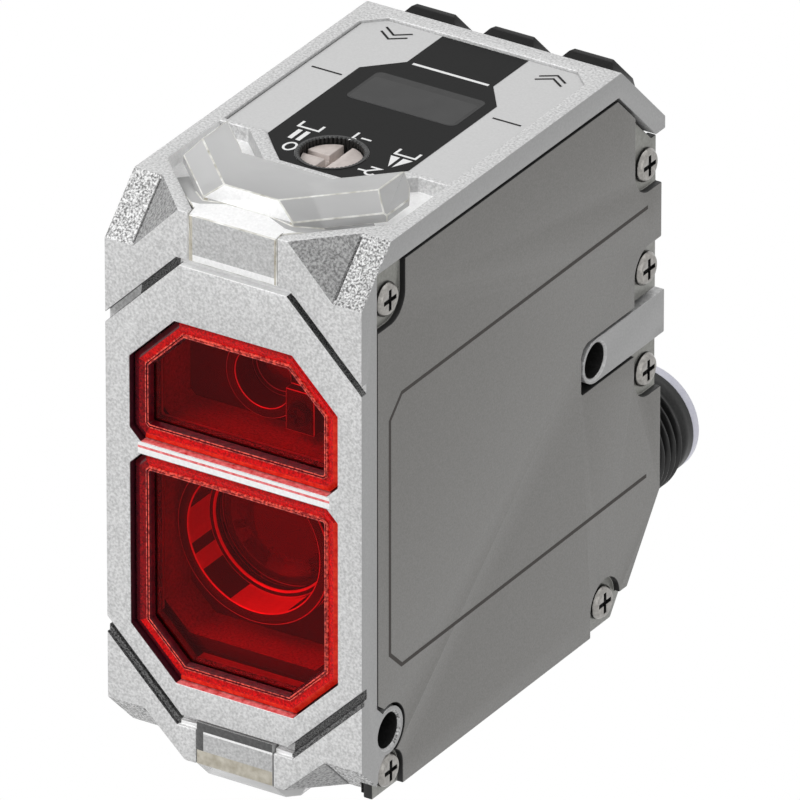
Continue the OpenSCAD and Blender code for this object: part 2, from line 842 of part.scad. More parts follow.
module panel_header() {
    color("ivory") placed()
        block([main_face_x, main_front + 2.5, main_top - 2.5],
            [main_face_x + 2.6, main_front + 11, panel_board_z]);
}

module panel_board() {
    color("darkgreen") placed()
        block([-chassis_hw, top_led_y - 0.85, panel_board_z], [chassis_hw, panel_back, panel_board_top]);
}

module display_module() {
    color("black") placed()
        display_block(0.9, panel_board_top, ceiling_z);
}

module display_pane() {
    color("slategray", 0.8) placed()
        display_block(0, ceiling_z, sheet_z);
}

module panel_sheet() {
    color("lightgray") placed() difference() {
        upward(sheet_z, sheet_z + sheet_t) intersection() {
            polygon(sheet_outline);
            translate([-sheet_side + 0.1, 0]) square([2 * sheet_side - 0.2, sheet_back - 0.1]);
        }
        translate([dial_x, dial_y, sheet_z - 1]) cylinder(r = dial_hole_r, h = 3);
        display_block(pane_gap, sheet_z - 1, body_h);
    }
}

module dial_switch() {
    color("black") placed() difference() {
        block([dial_x - 3.6, dial_y - 3.6, panel_board_top], [dial_x + 3.6, dial_y + 3.6, ceiling_z - 0.1]);
        translate([dial_x, dial_y, panel_board_top + 0.6]) cylinder(r = 1.05, h = 5);
    }
}

module dial_seal() {
    color("black") placed() translate([dial_x, dial_y, ceiling_z - 0.1]) difference() {
        cylinder(r = dial_hole_r - fit, h = 0.6);
        translate([0, 0, -1]) cylinder(r = dial_r + fit, h = 3);
    }
}

// The dial is a round rotor with one slot right across it and a second one from the rim to the middle
module dial() {
    foot = ceiling_z - 0.05;
    top = sheet_z - 0.25;
    color("antiquewhite") placed() translate([dial_x, dial_y, 0]) {
        difference() {
            translate([0, 0, foot]) cylinder(r = dial_r, h = top - foot);
            block([-0.45, -dial_r, top - 1], [0.45, dial_r, top + 1]);
            block([-dial_r, -0.35, top - 0.7], [0.5, 0.35, top + 1]);
        }
        translate([0, 0, panel_board_top + 0.8]) cylinder(r = 1, h = foot - panel_board_top - 0.7);
    }
}

// A key's profile for half its size: the cap's flanks lean in by lean, and a bevel of width top_in ends them
module key_profile(half, lean, top_in) {
    brow = half - lean;
    polygon([
        [-half, key_foot], [half, key_foot], [half, 0.1], [brow, key_rise - key_bevel],
        [brow - top_in, key_rise], [top_in - brow, key_rise],
        [-brow, key_rise - key_bevel], [-half, 0.1]
    ]);
}

// A key: a cap with bevelled edges, a foot through the wall and a flange behind it
module key(i) {
    color("#202020") placed() on_slope() translate([i * key_pitch, key_y, 0]) {
        intersection() {
            translate([0, key_l / 2, 0]) rotate([90, 0, 0])
                linear_extrude(key_l) key_profile(key_w / 2, 0.75, 0.2);
            rotate([90, 0, 90]) translate([0, 0, -key_w / 2]) linear_extrude(key_w)
                key_profile(key_l / 2, 0.15, key_bevel);
        }
        block([-key_w / 2, -key_l / 2 - 0.6, key_foot], [key_w / 2, key_l / 2 + 0.6, key_flange_top]);
    }
}

module key_board() {
    color("darkgreen") placed() on_slope()
        block([-chassis_hw, -4, key_board_z - board_t], [chassis_hw, 4, key_board_z]);
}

// A small push switch under a key, a little more than the key's travel below its flange
module key_switch(i) {
    color("silver") placed() on_slope() translate([i * key_pitch, key_y, 0]) {
        block([-1.6, -1.6, key_board_z], [1.6, 1.6, key_foot - key_travel - 0.25]);
        translate([0, 0, key_board_z]) cylinder(r = 0.8, h = key_foot - key_travel - 0.05 - key_board_z);
    }
}

// The upper light strip: a foot that falls gently to its edges, a bevelled bar on it
// and two legs over the diodes
module upper_light_strip() {
    top = body_h + light_rise;
    brow = body_h + 0.45;
    color("whitesmoke", 0.5) placed() {
        difference() {
            union() {
                upward(body_h - light_bed, brow) inset_outline(light_outline);
                block([-light_hw + 0.05, 0, light_foot + 0.05], [light_hw - 0.05, light_front_t, body_h]);
            }
            half_space([0, 0, body_h - 0.15], [0, -0.6, bar_front]);
            both_sides() half_space([light_hw, shoulder, body_h], [0.215, -0.215, 1]);
            both_sides() half_space([light_side, light_end, body_h], [0.2, 0, 1]);
            both_sides() half_space([light_end - foot_gap, light_end, body_h], [-0.14, 0.14, 1]);
            half_space([0, light_end, body_h], [0, 0.12, 1]);
            half_space([0, light_in + foot_in, body_h], [0, 0.2, 1]);
        }
        difference() {
            upward(body_h - 0.5, top) polygon(light_bar);
            half_space([0, bar_front, brow], [0, 0.45 - light_rise, 0.54]);
            both_sides() half_space([light_hw, bar_front, brow], [1.13, -1.13, 1.77]);
            both_sides() half_space([bar_side, 0, body_h + 0.2], [1.8, 0, 1.5]);
        }
        both_sides() translate([light_leg[0], light_leg[1], panel_board_top + 1])
            cylinder(r = light_leg_r, h = body_h - light_bed + 0.1 - panel_board_top - 1);
    }
}

// The strip's outline, kept a little inside its bed
module inset_outline(outline) {
    polygon([for (p = outline) [p[0] - sign(p[0]) * 0.06, max(0, p[1] - (p[1] > light_in ? 0.06 : -0.04))]]);
}

module led(x, y, z, up) {
    color("ivory") placed() block([x - 0.8, y - 0.8, up ? z : z - 0.8], [x + 0.8, y + 0.8, up ? z + 0.8 : z]);
}

// The lower light strip fills the notch in the chin, wraps under it and carries a stub below its diode
module lower_light_strip() {
    foot_hw = low_light_w / 2 + 2.05;
    color("whitesmoke", 0.5) placed() difference() {
        union() {
            block([-low_light_w / 2, 0, -low_light_t], [low_light_w / 2, light_front_t - 0.1, low_light_h]);
            block([-foot_hw, 0.1, -low_light_t], [foot_hw, 12, 0]);
            translate([0, 10, -0.1]) cylinder(r = 1.4, h = wall);
        }
        half_space([0, 0.1, 0], [0, -1, -1]);
        both_sides() half_space([low_light_w / 2, 0.1, 0], [4, -4, -3.8]);
        both_sides() half_space([foot_hw, 0, -0.5], [1.5, 0, -0.95]);
    }
}

module lower_led_board() {
    color("darkgreen") placed() block([-5.2, 8.4, wall + 0.9], [5.2, 13.8, wall + 1.7]);
}

// The elbow turns on its spigot in the housing's corner; wires pass through both its bores
module plug_elbow() {
    seat = swivel_seat + swivel_gap;
    axis = [0, 1, -1] / sqrt(2);
    color("#1c1c1c") placed() difference() {
        union() {
            intersection() {
                union() {
                    translate([0, pivot_y, plug_z]) sphere(neck_r);
                    y_bar(0, plug_z, neck_r, pivot_y, shell_y);
                }
                half_space([0, pivot_y, plug_z] + axis * seat, axis);
            }
            on_swivel() translate([0, 0, -turret_t - 2]) cylinder(r = spigot_r, h = turret_t + 2 + seat + 1);
        }
        on_swivel() translate([0, 0, -turret_t - 3]) cylinder(r = spigot_r - 1.3, h = turret_t + 4);
        y_bar(0, plug_z, 2.2, pivot_y, shell_y + 1);
    }
}

module ring(big, small) {
    rotate_extrude() translate([big, 0]) circle(small, $fn = 32);
}

module swivel_seal() {
    color("black") placed() on_swivel() translate([0, 0, swivel_seat - 0.5]) ring(spigot_r + 1.3, 0.45);
}

module swivel_retainer() {
    color("silver") placed() on_swivel() translate([0, 0, -turret_t - swivel_gap - 1.4]) difference() {
        cylinder(r = spigot_r + 1.3, h = 1.4);
        translate([0, 0, -1]) cylinder(r = spigot_r + 0.02, h = 4);
    }
}

// The shell carries the M12 thread, drawn here at its outside diameter
module plug_shell() {
    color("#1c1c1c") placed() difference() {
        union() {
            y_bar(0, plug_z, thread_r + 0.4, shell_y, shell_y + 1.5);
            y_bar(0, plug_z, thread_r, shell_y + 1, thread_end);
            y_bar(0, plug_z, thread_r - 0.45, thread_end - 1, plug_end - end_ring_t);
        }
        y_bar(0, plug_z, 2.2, shell_y - 1, shell_y + 2);
        y_bar(0, plug_z, socket_r, insert_y, plug_end);
        difference() {
            y_bar(0, plug_z, thread_r + 1, shell_y + 1.9, shell_y + 2.9);
            y_bar(0, plug_z, thread_r - 0.5, shell_y + 1, shell_y + 4);
        }
    }
}

module pins(r, y0, y1) {
    for (a = [0:90:270]) y_bar(pin_circle * cos(a), plug_z + pin_circle * sin(a), r, y0, y1);
}

module plug_insert() {
    color("#303030") placed() difference() {
        y_bar(0, plug_z, socket_r - fit, insert_y, insert_y + insert_l);
        pins(pin_r + 0.02, insert_y - 1, insert_y + insert_l + 1);
    }
}

module plug_pins() {
    color("gold") placed() pins(pin_r, insert_y + 0.2, plug_end - 2);
}

module plug_gasket() {
    color("black") placed() translate([0, shell_y + 2.4, plug_z]) rotate([-90, 0, 0]) ring(thread_r, 0.45);
}

module plug_end_ring() {
    color("#d9dbe6") placed() difference() {
        y_bar(0, plug_z, thread_r - 0.45, plug_end - end_ring_t, plug_end);
        y_bar(0, plug_z, socket_r, plug_end - 3, plug_end + 1);
    }
}

housing();
side_cover();
cover_gasket();
cover_screws();
upper_window();
lower_window();
upper_window_seal();
lower_window_seal();
optics_chassis();
lens_barrel();
receiver_lens();
lens_ring();
emitter_holder();
emitter_lens();
laser_diode();
holder_screw();
image_sensor();
sensor_board();
main_board();
board_screws();
processor();
power_coil();
sensor_header();
panel_header();
panel_board();
display_module();
display_pane();
panel_sheet();
dial_switch();
dial_seal();
dial();
key(-1);  // key_left
key(0);  // key_centre
key(1);  // key_right
key_board();
key_switch(-1);  // key_switch_left
key_switch(0);  // key_switch_centre
key_switch(1);  // key_switch_right
upper_light_strip();
led(-light_leg[0], top_led_y, panel_board_top, true);  // upper_led_left
led(light_leg[0], top_led_y, panel_board_top, true);  // upper_led_right
lower_light_strip();
led(0, 10, wall + 0.9, false);  // lower_led
lower_led_board();
plug_elbow();
swivel_seal();
swivel_retainer();
plug_shell();
plug_insert();
plug_pins();
plug_gasket();
plug_end_ring();
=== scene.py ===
import json
import math
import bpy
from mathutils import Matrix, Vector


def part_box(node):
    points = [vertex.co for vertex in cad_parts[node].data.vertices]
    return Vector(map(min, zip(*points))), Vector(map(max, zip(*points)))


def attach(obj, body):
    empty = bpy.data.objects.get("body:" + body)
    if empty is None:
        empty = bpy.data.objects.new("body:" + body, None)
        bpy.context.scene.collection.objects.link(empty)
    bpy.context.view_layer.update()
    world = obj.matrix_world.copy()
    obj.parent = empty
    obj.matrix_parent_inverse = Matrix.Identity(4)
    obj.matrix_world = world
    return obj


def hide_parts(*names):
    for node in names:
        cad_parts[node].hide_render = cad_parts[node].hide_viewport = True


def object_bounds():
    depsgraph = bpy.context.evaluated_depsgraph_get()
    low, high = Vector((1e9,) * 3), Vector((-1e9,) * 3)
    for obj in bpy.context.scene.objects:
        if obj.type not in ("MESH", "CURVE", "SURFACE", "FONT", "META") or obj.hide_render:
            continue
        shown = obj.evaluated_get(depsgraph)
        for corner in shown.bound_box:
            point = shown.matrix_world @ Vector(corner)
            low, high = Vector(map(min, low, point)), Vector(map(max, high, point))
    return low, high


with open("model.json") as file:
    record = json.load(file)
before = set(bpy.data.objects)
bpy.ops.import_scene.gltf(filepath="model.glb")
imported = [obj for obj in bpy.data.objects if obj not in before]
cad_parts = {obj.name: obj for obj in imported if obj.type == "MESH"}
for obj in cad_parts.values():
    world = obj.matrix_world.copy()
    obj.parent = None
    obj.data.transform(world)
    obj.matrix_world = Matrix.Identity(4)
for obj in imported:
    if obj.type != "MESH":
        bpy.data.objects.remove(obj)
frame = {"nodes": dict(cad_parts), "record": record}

from types import SimpleNamespace

import bmesh
import bpy
import numpy as np
from mathutils import Vector

mm = 0.001
far = math.inf                              # no limit
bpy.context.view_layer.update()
nodes = frame["nodes"]
slotOf = {entry["node"]: entry["material_slot"] for entry in frame["record"]["subparts"]}
bodyOf = {name: body for body, names in frame["record"]["behaviour"]["bodies"].items() for name in names}
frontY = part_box("housing")[0].y             # the front face
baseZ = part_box("side_cover")[0].z           # the base
# how much of a face's normal lies along an axis: the face looks straight that way, or leans that way
straight, steep, slant, slight = 0.95, 0.6, 0.3, 0.2


def place(x, y, z):
    # millimetres from the middle of the front face's lower edge, to the frame
    return Vector((x * mm, frontY + y * mm, baseZ + z * mm))


def toFrame(points):
    # the same for a whole array of points
    return np.asarray(points, dtype=float) * mm + np.array([0.0, frontY, baseZ])


def boxOf(nodeName):
    # a node's lowest and highest corner, in millimetres from the middle of the front face's lower edge
    return (np.array(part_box(nodeName)) - np.array([0.0, frontY, baseZ])) / mm


def srgb(r, g, b):
    # a colour as it looks on screen, to the linear values that the shaders take
    return tuple(c / 12.92 if c < 0.04045 else ((c + 0.055) / 1.055) ** 2.4 for c in (r, g, b)) + (1.0,)


def grey(value):
    return (value, value, value)


# camera, floor and light

studio = {
    # degrees, metres and the lens in millimetres; target and lampTarget in millimetres on the object
    "azimuth": 32.21, "elevation": 27.89, "distance": 1.8769, "lens": 933.2, "sensor": 36.0, "clip": 20.0,
    "target": (3.39, 22.68, 29.20), "lampTarget": (0, 26, 28),
    "floorDrop": 0.06, "floorSize": 3.0, "floorColour": grey(0.93),
    "skyStrength": 0.42,
    "lamps": {
        # name: direction the light comes from, distance, size, power in watts
        "keyLamp": ((-0.55, -0.75, 0.75), 0.6, 0.4, 2.0),
        "topLamp": ((0.1, 0.25, 1.0), 0.6, 0.6, 0.8),
        "fillLamp": ((1.0, -0.35, 0.25), 0.8, 0.6, 0.6),
    },
}


def aim(thing, target, away, distance):
    # the thing goes into the scene at the distance from the target, and looks back at it
    bpy.context.scene.collection.objects.link(thing)
    thing.location = place(*target) + away * distance
    thing.rotation_euler = away.to_track_quat("Z", "Y").to_euler()


def addCamera():
    # the direction to the camera: azimuth round the upright axis from the front, elevation above the floor
    azimuth, elevation = math.radians(studio["azimuth"]), math.radians(studio["elevation"])
    level = math.cos(elevation)
    back = Vector((math.sin(azimuth) * level, -math.cos(azimuth) * level, math.sin(elevation)))
    cameraData = bpy.data.cameras.new("camera")
    cameraData.lens = studio["lens"]
    cameraData.sensor_width = studio["sensor"]
    cameraData.clip_end = studio["clip"]
    camera = bpy.data.objects.new("camera", cameraData)
    aim(camera, studio["target"], back, studio["distance"])
    bpy.context.scene.camera = camera


def addLamps():
    for name, (direction, distance, size, power) in studio["lamps"].items():
        lampData = bpy.data.lights.new(name, "AREA")
        lampData.shape = "DISK"
        lampData.size = size
        lampData.energy = power
        lamp = bpy.data.objects.new(name, lampData)
        aim(lamp, studio["lampTarget"], Vector(direction).normalized(), distance)


def link(tree, source, target):
    tree.links.new(source, target)


def addMath(tree, operation, first, second, clamp=False):
    # one sum in a tree; each side is a number or another node's output
    node = tree.nodes.new("ShaderNodeMath")
    node.operation = operation
    node.use_clamp = clamp
    for socket, value in zip(node.inputs, (first, second)):
        if isinstance(value, float):
            socket.default_value = value
        else:
            link(tree, value, socket)
    return node.outputs[0]


def mixShaders(tree, output, factor, first, second):
    # the surface is the first shader where the factor is 0 and the second where it is 1
    mix = tree.nodes.new("ShaderNodeMixShader")
    link(tree, factor, mix.inputs["Fac"])
    link(tree, first.outputs[0], mix.inputs[1])
    link(tree, second.outputs[0], mix.inputs[2])
    link(tree, mix.outputs[0], output.inputs["Surface"])


def whiteBackground(tree, outputKind, lit, whiteKind):
    # plain white for rays from the camera, from a mirror-like surface or through glass; lit for all others
    white = tree.nodes.new(whiteKind)
    white.inputs["Color"].default_value = (1, 1, 1, 1)
    white.inputs["Strength"].default_value = 1.0
    path = tree.nodes.new("ShaderNodeLightPath")
    seen = addMath(tree, "ADD", path.outputs["Is Camera Ray"], path.outputs["Is Glossy Ray"])
    seen = addMath(tree, "ADD", seen, path.outputs["Is Transmission Ray"], clamp=True)
    mixShaders(tree, tree.nodes.new(outputKind), seen, lit, white)


def addWorld():
    # the sky lights the object evenly
    world = bpy.data.worlds.new("studio")
    bpy.context.scene.world = world
    world.use_nodes = True
    tree = world.node_tree
    tree.nodes.clear()
    sky = tree.nodes.new("ShaderNodeBackground")
    sky.inputs["Color"].default_value = (1, 1, 1, 1)
    sky.inputs["Strength"].default_value = studio["skyStrength"]
    whiteBackground(tree, "ShaderNodeOutputWorld", sky, "ShaderNodeBackground")


def addFloor():
    # a square sheet of pale paper below the object
    half = studio["floorSize"] / 2
    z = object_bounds()[0].z - studio["floorDrop"]
    corners = [(-half, -half, z), (half, -half, z), (half, half, z), (-half, half, z)]
    floorMesh = bpy.data.meshes.new("floor")
    floorMesh.from_pydata(corners, [], [(0, 1, 2, 3)])
    floor = bpy.data.objects.new("floor", floorMesh)
    bpy.context.scene.collection.objects.link(floor)
    paint = bpy.data.materials.new("floorPaper")
    paint.use_nodes = True
    tree = paint.node_tree
    tree.nodes.clear()
    paper = tree.nodes.new("ShaderNodeBsdfDiffuse")
    paper.inputs["Color"].default_value = studio["floorColour"] + (1,)
    whiteBackground(tree, "ShaderNodeOutputMaterial", paper, "ShaderNodeEmission")
    floorMesh.materials.append(paint)


addCamera()
addLamps()
addWorld()
addFloor()
bpy.context.scene.view_settings.view_transform = "Standard"
print("camera, lamps and floor are set")


# materials

grainLook = {"detail": 2.0, "roughness": 0.6, "middle": 0.5}


def makeMottle():
    # grain: noise spread from middle - softness to middle + softness picks a colour between dark and light;
    # the noise itself is the height for the bump
    group = bpy.data.node_groups.new("mottle", "ShaderNodeTree")
    for name, kind in (("Size", "NodeSocketFloat"), ("Softness", "NodeSocketFloat"),
                       ("Dark", "NodeSocketColor"), ("Light", "NodeSocketColor")):
        group.interface.new_socket(name=name, in_out="INPUT", socket_type=kind)
    for name, kind in (("Colour", "NodeSocketColor"), ("Height", "NodeSocketFloat")):
        group.interface.new_socket(name=name, in_out="OUTPUT", socket_type=kind)
    given = group.nodes.new("NodeGroupInput")
    result = group.nodes.new("NodeGroupOutput")
    coordinates = group.nodes.new("ShaderNodeTexCoord")
    noise = group.nodes.new("ShaderNodeTexNoise")
    noise.inputs["Detail"].default_value = grainLook["detail"]
    noise.inputs["Roughness"].default_value = grainLook["roughness"]
    spread = group.nodes.new("ShaderNodeMapRange")
    mix = group.nodes.new("ShaderNodeMix")
    mix.data_type = "RGBA"
    scale = addMath(group, "DIVIDE", 1.0, given.outputs["Size"])
    low = addMath(group, "SUBTRACT", grainLook["middle"], given.outputs["Softness"])
    high = addMath(group, "ADD", grainLook["middle"], given.outputs["Softness"])
    link(group, coordinates.outputs["Object"], noise.inputs["Vector"])
    link(group, scale, noise.inputs["Scale"])
    link(group, noise.outputs["Fac"], spread.inputs["Value"])
    link(group, low, spread.inputs["From Min"])
    link(group, high, spread.inputs["From Max"])
    link(group, spread.outputs["Result"], mix.inputs["Factor"])
    link(group, given.outputs["Dark"], mix.inputs["A"])
    link(group, given.outputs["Light"], mix.inputs["B"])
    link(group, mix.outputs["Result"], result.inputs["Colour"])
    link(group, noise.outputs["Fac"], result.inputs["Height"])
    return group


mottle = makeMottle()


def newMaterial(name, dark, light, size, softness, depth, roughness, metallic, shine=0.5):
    # a grained surface; size and depth of the grain in millimetres
    material = bpy.data.materials.new(name)
    material.use_nodes = True
    tree = material.node_tree
    shader = tree.nodes["Principled BSDF"]
    shader.inputs["Roughness"].default_value = roughness
    shader.inputs["Metallic"].default_value = metallic
    shader.inputs["Specular IOR Level"].default_value = shine
    grain = tree.nodes.new("ShaderNodeGroup")
    grain.node_tree = mottle
    grain.inputs["Size"].default_value = size * mm
    grain.inputs["Softness"].default_value = softness
    grain.inputs["Dark"].default_value = srgb(*dark)
    grain.inputs["Light"].default_value = srgb(*light)
    bump = tree.nodes.new("ShaderNodeBump")
    bump.inputs["Strength"].default_value = 1.0
    bump.inputs["Distance"].default_value = depth * mm
    link(tree, grain.outputs["Colour"], shader.inputs["Base Color"])
    link(tree, grain.outputs["Height"], bump.inputs["Height"])
    link(tree, bump.outputs["Normal"], shader.inputs["Normal"])
    return material


dull = 0.12                                 # the shine of a matt finish
finishes = {
    # name: dark, light, grain size, softness, bump depth, roughness, metallic, and shine if it is dull
    # housing
    "cast_silver": (grey(0.66), grey(0.80), 0.30, 0.25, 0.030, 0.42, 0.45),
    "castFront": (grey(0.72), grey(0.88), 0.26, 0.18, 0.045, 0.45, 0.30),
    "castFacet": (grey(0.42), grey(0.70), 0.24, 0.16, 0.080, 0.42, 0.30),
    "castSparkle": (grey(0.36), grey(0.90), 0.20, 0.14, 0.050, 0.50, 0.15),
    "castTop": (grey(0.70), grey(0.88), 0.24, 0.18, 0.030, 0.40, 0.40),
    # painted shade: the casting's sides and rear, a darker copy of its colour
    "castSideShade": (grey(0.62), grey(0.68), 0.20, 0.30, 0.006, 0.42, 0.35),
    # painted light: highlights on the casting and the strips, white on the shaded bed under the strip
    "castPaintedLight": (grey(0.92), grey(0.99), 0.30, 0.25, 0.010, 0.35, 0.10),
    # painted shade in the groove, with grain sparkles
    "castGrooveShade": (grey(0.02), grey(0.50), 0.14, 0.12, 0.060, 0.40, 0.20),
    # painted shade in the hollow and the bores
    "castPaintedShade": (grey(0.04), grey(0.12), 0.22, 0.20, 0.030, 0.45, 0.20),
    # painted red shade on the window pockets' walls
    "pocketRedShade": ((0.16, 0.03, 0.07), (0.30, 0.06, 0.12), 0.30, 0.25, 0.010, 0.30, 0.0),
    # painted red reflection on the pockets' floors and along the rib
    "ribRedReflection": ((0.80, 0.10, 0.12), (1.00, 0.62, 0.62), 0.50, 0.25, 0.010, 0.25, 0.0),
    # cover, screws and seals
    "cover_grey": ((0.46, 0.455, 0.445), (0.53, 0.525, 0.515), 0.16, 0.25, 0.006, 0.42, 0.30),
    "coverFlange": ((0.52, 0.52, 0.50), (0.60, 0.60, 0.58), 0.30, 0.25, 0.006, 0.36, 0.40),
    # painted shade on the cover's walls
    "coverEdgeShade": (grey(0.05), grey(0.10), 0.30, 0.30, 0.005, 0.55, 0.10),
    "etchBrown": ((0.10, 0.08, 0.06), (0.17, 0.13, 0.10), 0.20, 0.30, 0.004, 0.55, 0.1),
    "screw_steel": ((0.52, 0.51, 0.50), (0.68, 0.67, 0.65), 0.30, 0.30, 0.004, 0.28, 0.85),
    # painted shade in the screw slots and on the holder's screw
    "screwShade": (grey(0.10), grey(0.16), 0.20, 0.30, 0.004, 0.40, 0.50),
    "seal_black": (grey(0.05), grey(0.07), 0.30, 0.30, 0.005, 0.70, 0.0, dull),
    # optics and boards
    "optics_black": ((0.10, 0.07, 0.07), (0.20, 0.14, 0.14), 0.25, 0.22, 0.030, 0.50, 0.0),
    # painted light on the chassis faces that look right or up
    "opticsLit": ((0.40, 0.30, 0.30), (0.66, 0.46, 0.46), 0.25, 0.22, 0.080, 0.50, 0.0),
    "barrel_black": (grey(0.16), grey(0.22), 0.20, 0.30, 0.003, 0.18, 0.2),
    # painted highlights on the optics' edges and in the lens bore
    "ringHighlight": (grey(0.90), grey(0.96), 0.40, 0.30, 0.002, 0.22, 0.2),
    "diode_gold": ((0.80, 0.62, 0.32), (0.90, 0.76, 0.46), 0.30, 0.30, 0.002, 0.25, 1.0),
    "chip_black": (grey(0.06), grey(0.09), 0.20, 0.30, 0.003, 0.50, 0.0),
    "board_green": ((0.06, 0.28, 0.14), (0.09, 0.35, 0.18), 0.60, 0.30, 0.003, 0.35, 0.0),
    "header_ivory": ((0.84, 0.81, 0.72), (0.88, 0.85, 0.77), 0.60, 0.30, 0.002, 0.50, 0.0),
    # windows
    "rimShade": ((0.34, 0.01, 0.04), (0.62, 0.04, 0.07), 0.20, 0.16, 0.050, 0.35, 0.0, dull),
    "windowRim": ((0.60, 0.0, 0.02), (0.92, 0.04, 0.05), 0.20, 0.16, 0.050, 0.35, 0.0, dull),
    "windowRidge": ((0.55, 0.0, 0.03), (1.00, 0.35, 0.28), 0.30, 0.10, 0.040, 0.25, 0.0),
    # painted shade on the windows' walls and troughs
    "windowEdgeShade": ((0.26, 0.02, 0.07), (0.40, 0.03, 0.08), 0.60, 0.20, 0.004, 0.15, 0.0),
    # painted highlight on the windows' slanting outer band
    "windowHighlight": ((0.86, 0.06, 0.04), (1.00, 0.24, 0.14), 0.50, 0.20, 0.010, 0.25, 0.0, dull),
    # light strips
    # painted shade on the lower strip's front
    "stripShade": (grey(0.24), grey(0.34), 0.30, 0.25, 0.004, 0.20, 0.0),
    "stripSand": (grey(0.64), grey(0.80), 0.26, 0.20, 0.020, 0.30, 0.0),
    "stripBeige": ((0.62, 0.59, 0.52), (0.80, 0.78, 0.73), 0.80, 0.25, 0.004, 0.20, 0.0),
    # painted highlights on the strips' edges
    "stripEdgeHighlight": ((0.66, 0.65, 0.60), (0.99, 0.99, 0.98), 1.60, 0.20, 0.004, 0.18, 0.0),
    # panel
    "panel_grey": (grey(0.78), grey(0.82), 0.25, 0.30, 0.003, 0.45, 0.0),
    "printBlack": (grey(0.02), grey(0.04), 0.25, 0.30, 0.002, 0.50, 0.0, dull),
    "printWhite": (grey(0.90), grey(0.96), 0.30, 0.30, 0.001, 0.45, 0.0),
    "display_black": (grey(0.06), grey(0.08), 0.40, 0.30, 0.001, 0.30, 0.0),
    "display_pane": ((0.27, 0.27, 0.29), (0.31, 0.31, 0.33), 3.0, 0.30, 0.0005, 0.16, 0.0),
    "displayBand": (grey(0.20), grey(0.23), 0.60, 0.30, 0.001, 0.20, 0.0, dull),
    "displayGlass": (grey(0.23), grey(0.26), 3.0, 0.30, 0.0005, 0.18, 0.0, dull),
    "knurl": (grey(0.02), grey(0.13), 0.12, 0.15, 0.030, 0.35, 0.0),
    "dial_cream": ((0.76, 0.72, 0.70), (0.84, 0.80, 0.78), 0.60, 0.30, 0.004, 0.40, 0.0),
    "key_black": (grey(0.08), grey(0.13), 0.20, 0.30, 0.006, 0.38, 0.0, dull),
    # plug
    "plug_black": (grey(0.03), grey(0.06), 0.30, 0.30, 0.006, 0.30, 0.0),
    "plugCollar": (grey(0.18), grey(0.23), 0.30, 0.30, 0.006, 0.40, 0.0, dull),
    "insert_grey": (grey(0.16), grey(0.20), 0.30, 0.30, 0.003, 0.50, 0.0),
    "ring_pale": ((0.83, 0.83, 0.89), (0.90, 0.90, 0.94), 0.80, 0.30, 0.002, 0.35, 0.0),
}

clearFinishes = {
    # name: colour, tint of the light that passes straight through, roughness, clearness, index, shine, glint
    "window_red": ((0.97, 0.20, 0.24), (1.0, 0.5, 0.5), 0.0, 1.0, 1.3, 0.08, (1.0, 0.12, 0.18)),
    "lens_clear": (grey(0.97), grey(0.97), 0.0, 1.0, 1.49, 0.5, grey(1.0)),
    "strip_clear": (grey(0.79), grey(0.97), 0.12, 0.28, 1.3, 0.5, grey(1.0)),
}
clearWaves = {"size": 2.5, "depth": 0.004}  # moulded glass is a little wavy; millimetres


def clearMaterial(name, colour, tint, roughness, clearness, index, shine, glint):
    # glass; light passes straight through on its way to what lies behind
    material = bpy.data.materials.new(name)
    material.use_nodes = True
    tree = material.node_tree
    shader = tree.nodes["Principled BSDF"]
    shader.inputs["Base Color"].default_value = srgb(*colour)
    shader.inputs["Roughness"].default_value = roughness
    shader.inputs["Transmission Weight"].default_value = clearness
    shader.inputs["IOR"].default_value = index
    shader.inputs["Specular IOR Level"].default_value = shine
    shader.inputs["Specular Tint"].default_value = srgb(*glint)
    coordinates = tree.nodes.new("ShaderNodeTexCoord")
    waves = tree.nodes.new("ShaderNodeTexNoise")
    waves.inputs["Scale"].default_value = 1 / (clearWaves["size"] * mm)
    bump = tree.nodes.new("ShaderNodeBump")
    bump.inputs["Distance"].default_value = clearWaves["depth"] * mm
    link(tree, coordinates.outputs["Object"], waves.inputs["Vector"])
    link(tree, waves.outputs["Fac"], bump.inputs["Height"])
    link(tree, bump.outputs["Normal"], shader.inputs["Normal"])
    passing = tree.nodes.new("ShaderNodeBsdfTransparent")
    passing.inputs["Color"].default_value = srgb(*tint)
    path = tree.nodes.new("ShaderNodeLightPath")
    mixShaders(tree, tree.nodes["Material Output"], path.outputs["Is Shadow Ray"], shader, passing)
    return material


materials = {name: newMaterial(name, *values) for name, values in finishes.items()}
materials.update({name: clearMaterial(name, *values) for name, values in clearFinishes.items()})
print("materials are made")


# making pieces

edgeLook = {"segments": 2, "angle": 28}     # bevels, where two faces meet at more than this many degrees
weldDistance = 0.0005                       # corners closer than this are one
flatAngle = 0.5                             # faces that meet at less than this many degrees are one
sharpestMitre = 0.3                         # a line's corner reaches out at most its half width over this


def addPiece(name, mesh, finish, body="body", replaced=()):
    # a mesh with its list of finishes, on its body, in place of the replaced nodes
    for entry in finish:
        mesh.materials.append(materials[entry])
    piece = bpy.data.objects.new(name, mesh)
    bpy.context.scene.collection.objects.link(piece)
    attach(piece, body)
    if replaced:
        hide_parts(*replaced)
    return piece


def weldedCopy(nodeName):
    # the node's loose triangles joined, with flat areas made one face each
    mesh = nodes[nodeName].data.copy()
    mesh.name = nodeName + "Soft"
    mesh.materials.clear()
    work = bmesh.new()
    work.from_mesh(mesh)
    bmesh.ops.remove_doubles(work, verts=work.verts, dist=weldDistance * mm)
    bmesh.ops.dissolve_limit(work, angle_limit=math.radians(flatAngle), verts=work.verts, edges=work.edges)
    work.to_mesh(mesh)
    work.free()
    return mesh


